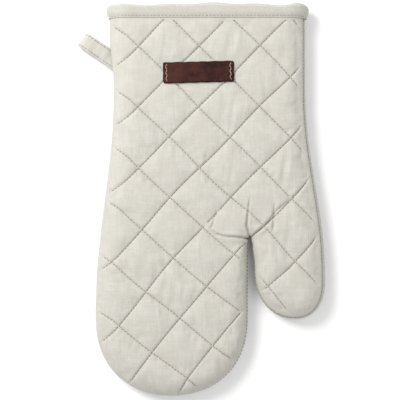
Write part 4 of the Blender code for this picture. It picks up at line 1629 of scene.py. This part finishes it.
LAMPS = (
    ("key_light", (-0.66, 0.58, 0.92), 0.62, 14.5),  # name, place, size and power
    ("top_light", (0.40, 0.05, 1.5), 1.0, 5),
)
SKY_STRENGTH = 0.66
FLOOR_REACH = 3
FLOOR_GAP = 0.0005  # under the lowest piece
CAMERA_PLACE = (-0.0008, 0.0004)
CAMERA_SEES = 0.324  # width of the view at the mitt's front


class MITT_OT_stage(bpy.types.Operator):
    """Pale floor, soft studio light and a camera straight above"""

    bl_idname = "mitt.stage"
    bl_label = "Stage"

    def execute(self, context):
        scene = context.scene
        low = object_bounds()[0]
        mesh = bpy.data.meshes.new("studio_floor")
        corners = [(x * FLOOR_REACH, y * FLOOR_REACH, 0) for x, y in ((-1, -1), (1, -1), (1, 1), (-1, 1))]
        mesh.from_pydata(corners, [], [(0, 1, 2, 3)])
        floor = link("studio_floor", mesh)
        floor.location.z = min(low.z, 0) - FLOOR_GAP
        n = Nodes("studio_floor")
        tint = n.noise(n.add("ShaderNodeTexCoord").outputs["Object"], 3)
        tone = scene.mitt_colours.floor
        mesh.materials.append(n.finish(n.mix(n.ranged(tint, 0, 1), shade(tone, 0.99), shade(tone)), 0.9))
        floor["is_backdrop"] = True
        world = bpy.data.worlds.new("studio")
        world.use_nodes = True
        world.node_tree.nodes["Background"].inputs["Color"].default_value = (1, 1, 1, 1)
        world.node_tree.nodes["Background"].inputs["Strength"].default_value = SKY_STRENGTH
        scene.world = world
        for lamp in LAMPS:
            add_light(*lamp)
        scene.view_settings.view_transform = "Standard"
        camera = bpy.data.cameras.new("camera")
        camera.lens = 110
        camera.sensor_width = 36
        eye = bpy.data.objects.new("camera", camera)
        scene.collection.objects.link(eye)
        eye.location = (*CAMERA_PLACE, FRONT_TOP + CAMERA_SEES * camera.lens / camera.sensor_width)
        scene.camera = eye
        return {"FINISHED"}


def add_light(name, place, size, power):
    lamp = bpy.data.lights.new(name, "AREA")
    lamp.shape = "DISK"
    lamp.size = size
    lamp.energy = power
    made = bpy.data.objects.new(name, lamp)
    bpy.context.scene.collection.objects.link(made)
    made.location = place
    made.rotation_euler = (-Vector(place)).to_track_quat("-Z", "Y").to_euler()


OPERATORS = (
    MITT_OT_outer_panels,
    MITT_OT_inner_layers,
    MITT_OT_sewing_thread,
    MITT_OT_cuff_binding,
    MITT_OT_leather_label,
    MITT_OT_hanging_loop,
    MITT_OT_stage,
)


class MITT_PT_sidebar(bpy.types.Panel):
    bl_idname = "MITT_PT_sidebar"
    bl_label = "Oven mitt"
    bl_space_type = "VIEW_3D"
    bl_region_type = "UI"
    bl_category = "Oven mitt"

    def draw(self, context):
        for operator in OPERATORS:
            self.layout.operator(operator.bl_idname)
        for name, group in GROUPS.items():
            box = self.layout.box()
            for setting in group.__annotations__:
                box.prop(getattr(context.scene, name), setting)


def register():
    for group in GROUPS.values():
        bpy.utils.register_class(group)
    for name, group in GROUPS.items():
        setattr(bpy.types.Scene, name, bpy.props.PointerProperty(type=group))
    for made in (*OPERATORS, MITT_PT_sidebar):
        bpy.utils.register_class(made)


def unregister():
    for made in (MITT_PT_sidebar, *reversed(OPERATORS)):
        bpy.utils.unregister_class(made)
    for name, group in reversed(GROUPS.items()):
        delattr(bpy.types.Scene, name)
        bpy.utils.unregister_class(group)


def main():
    register()
    for operator in OPERATORS:
        group, name = operator.bl_idname.split(".")
        getattr(getattr(bpy.ops, group), name)()


if __name__ == "__main__":
    main()
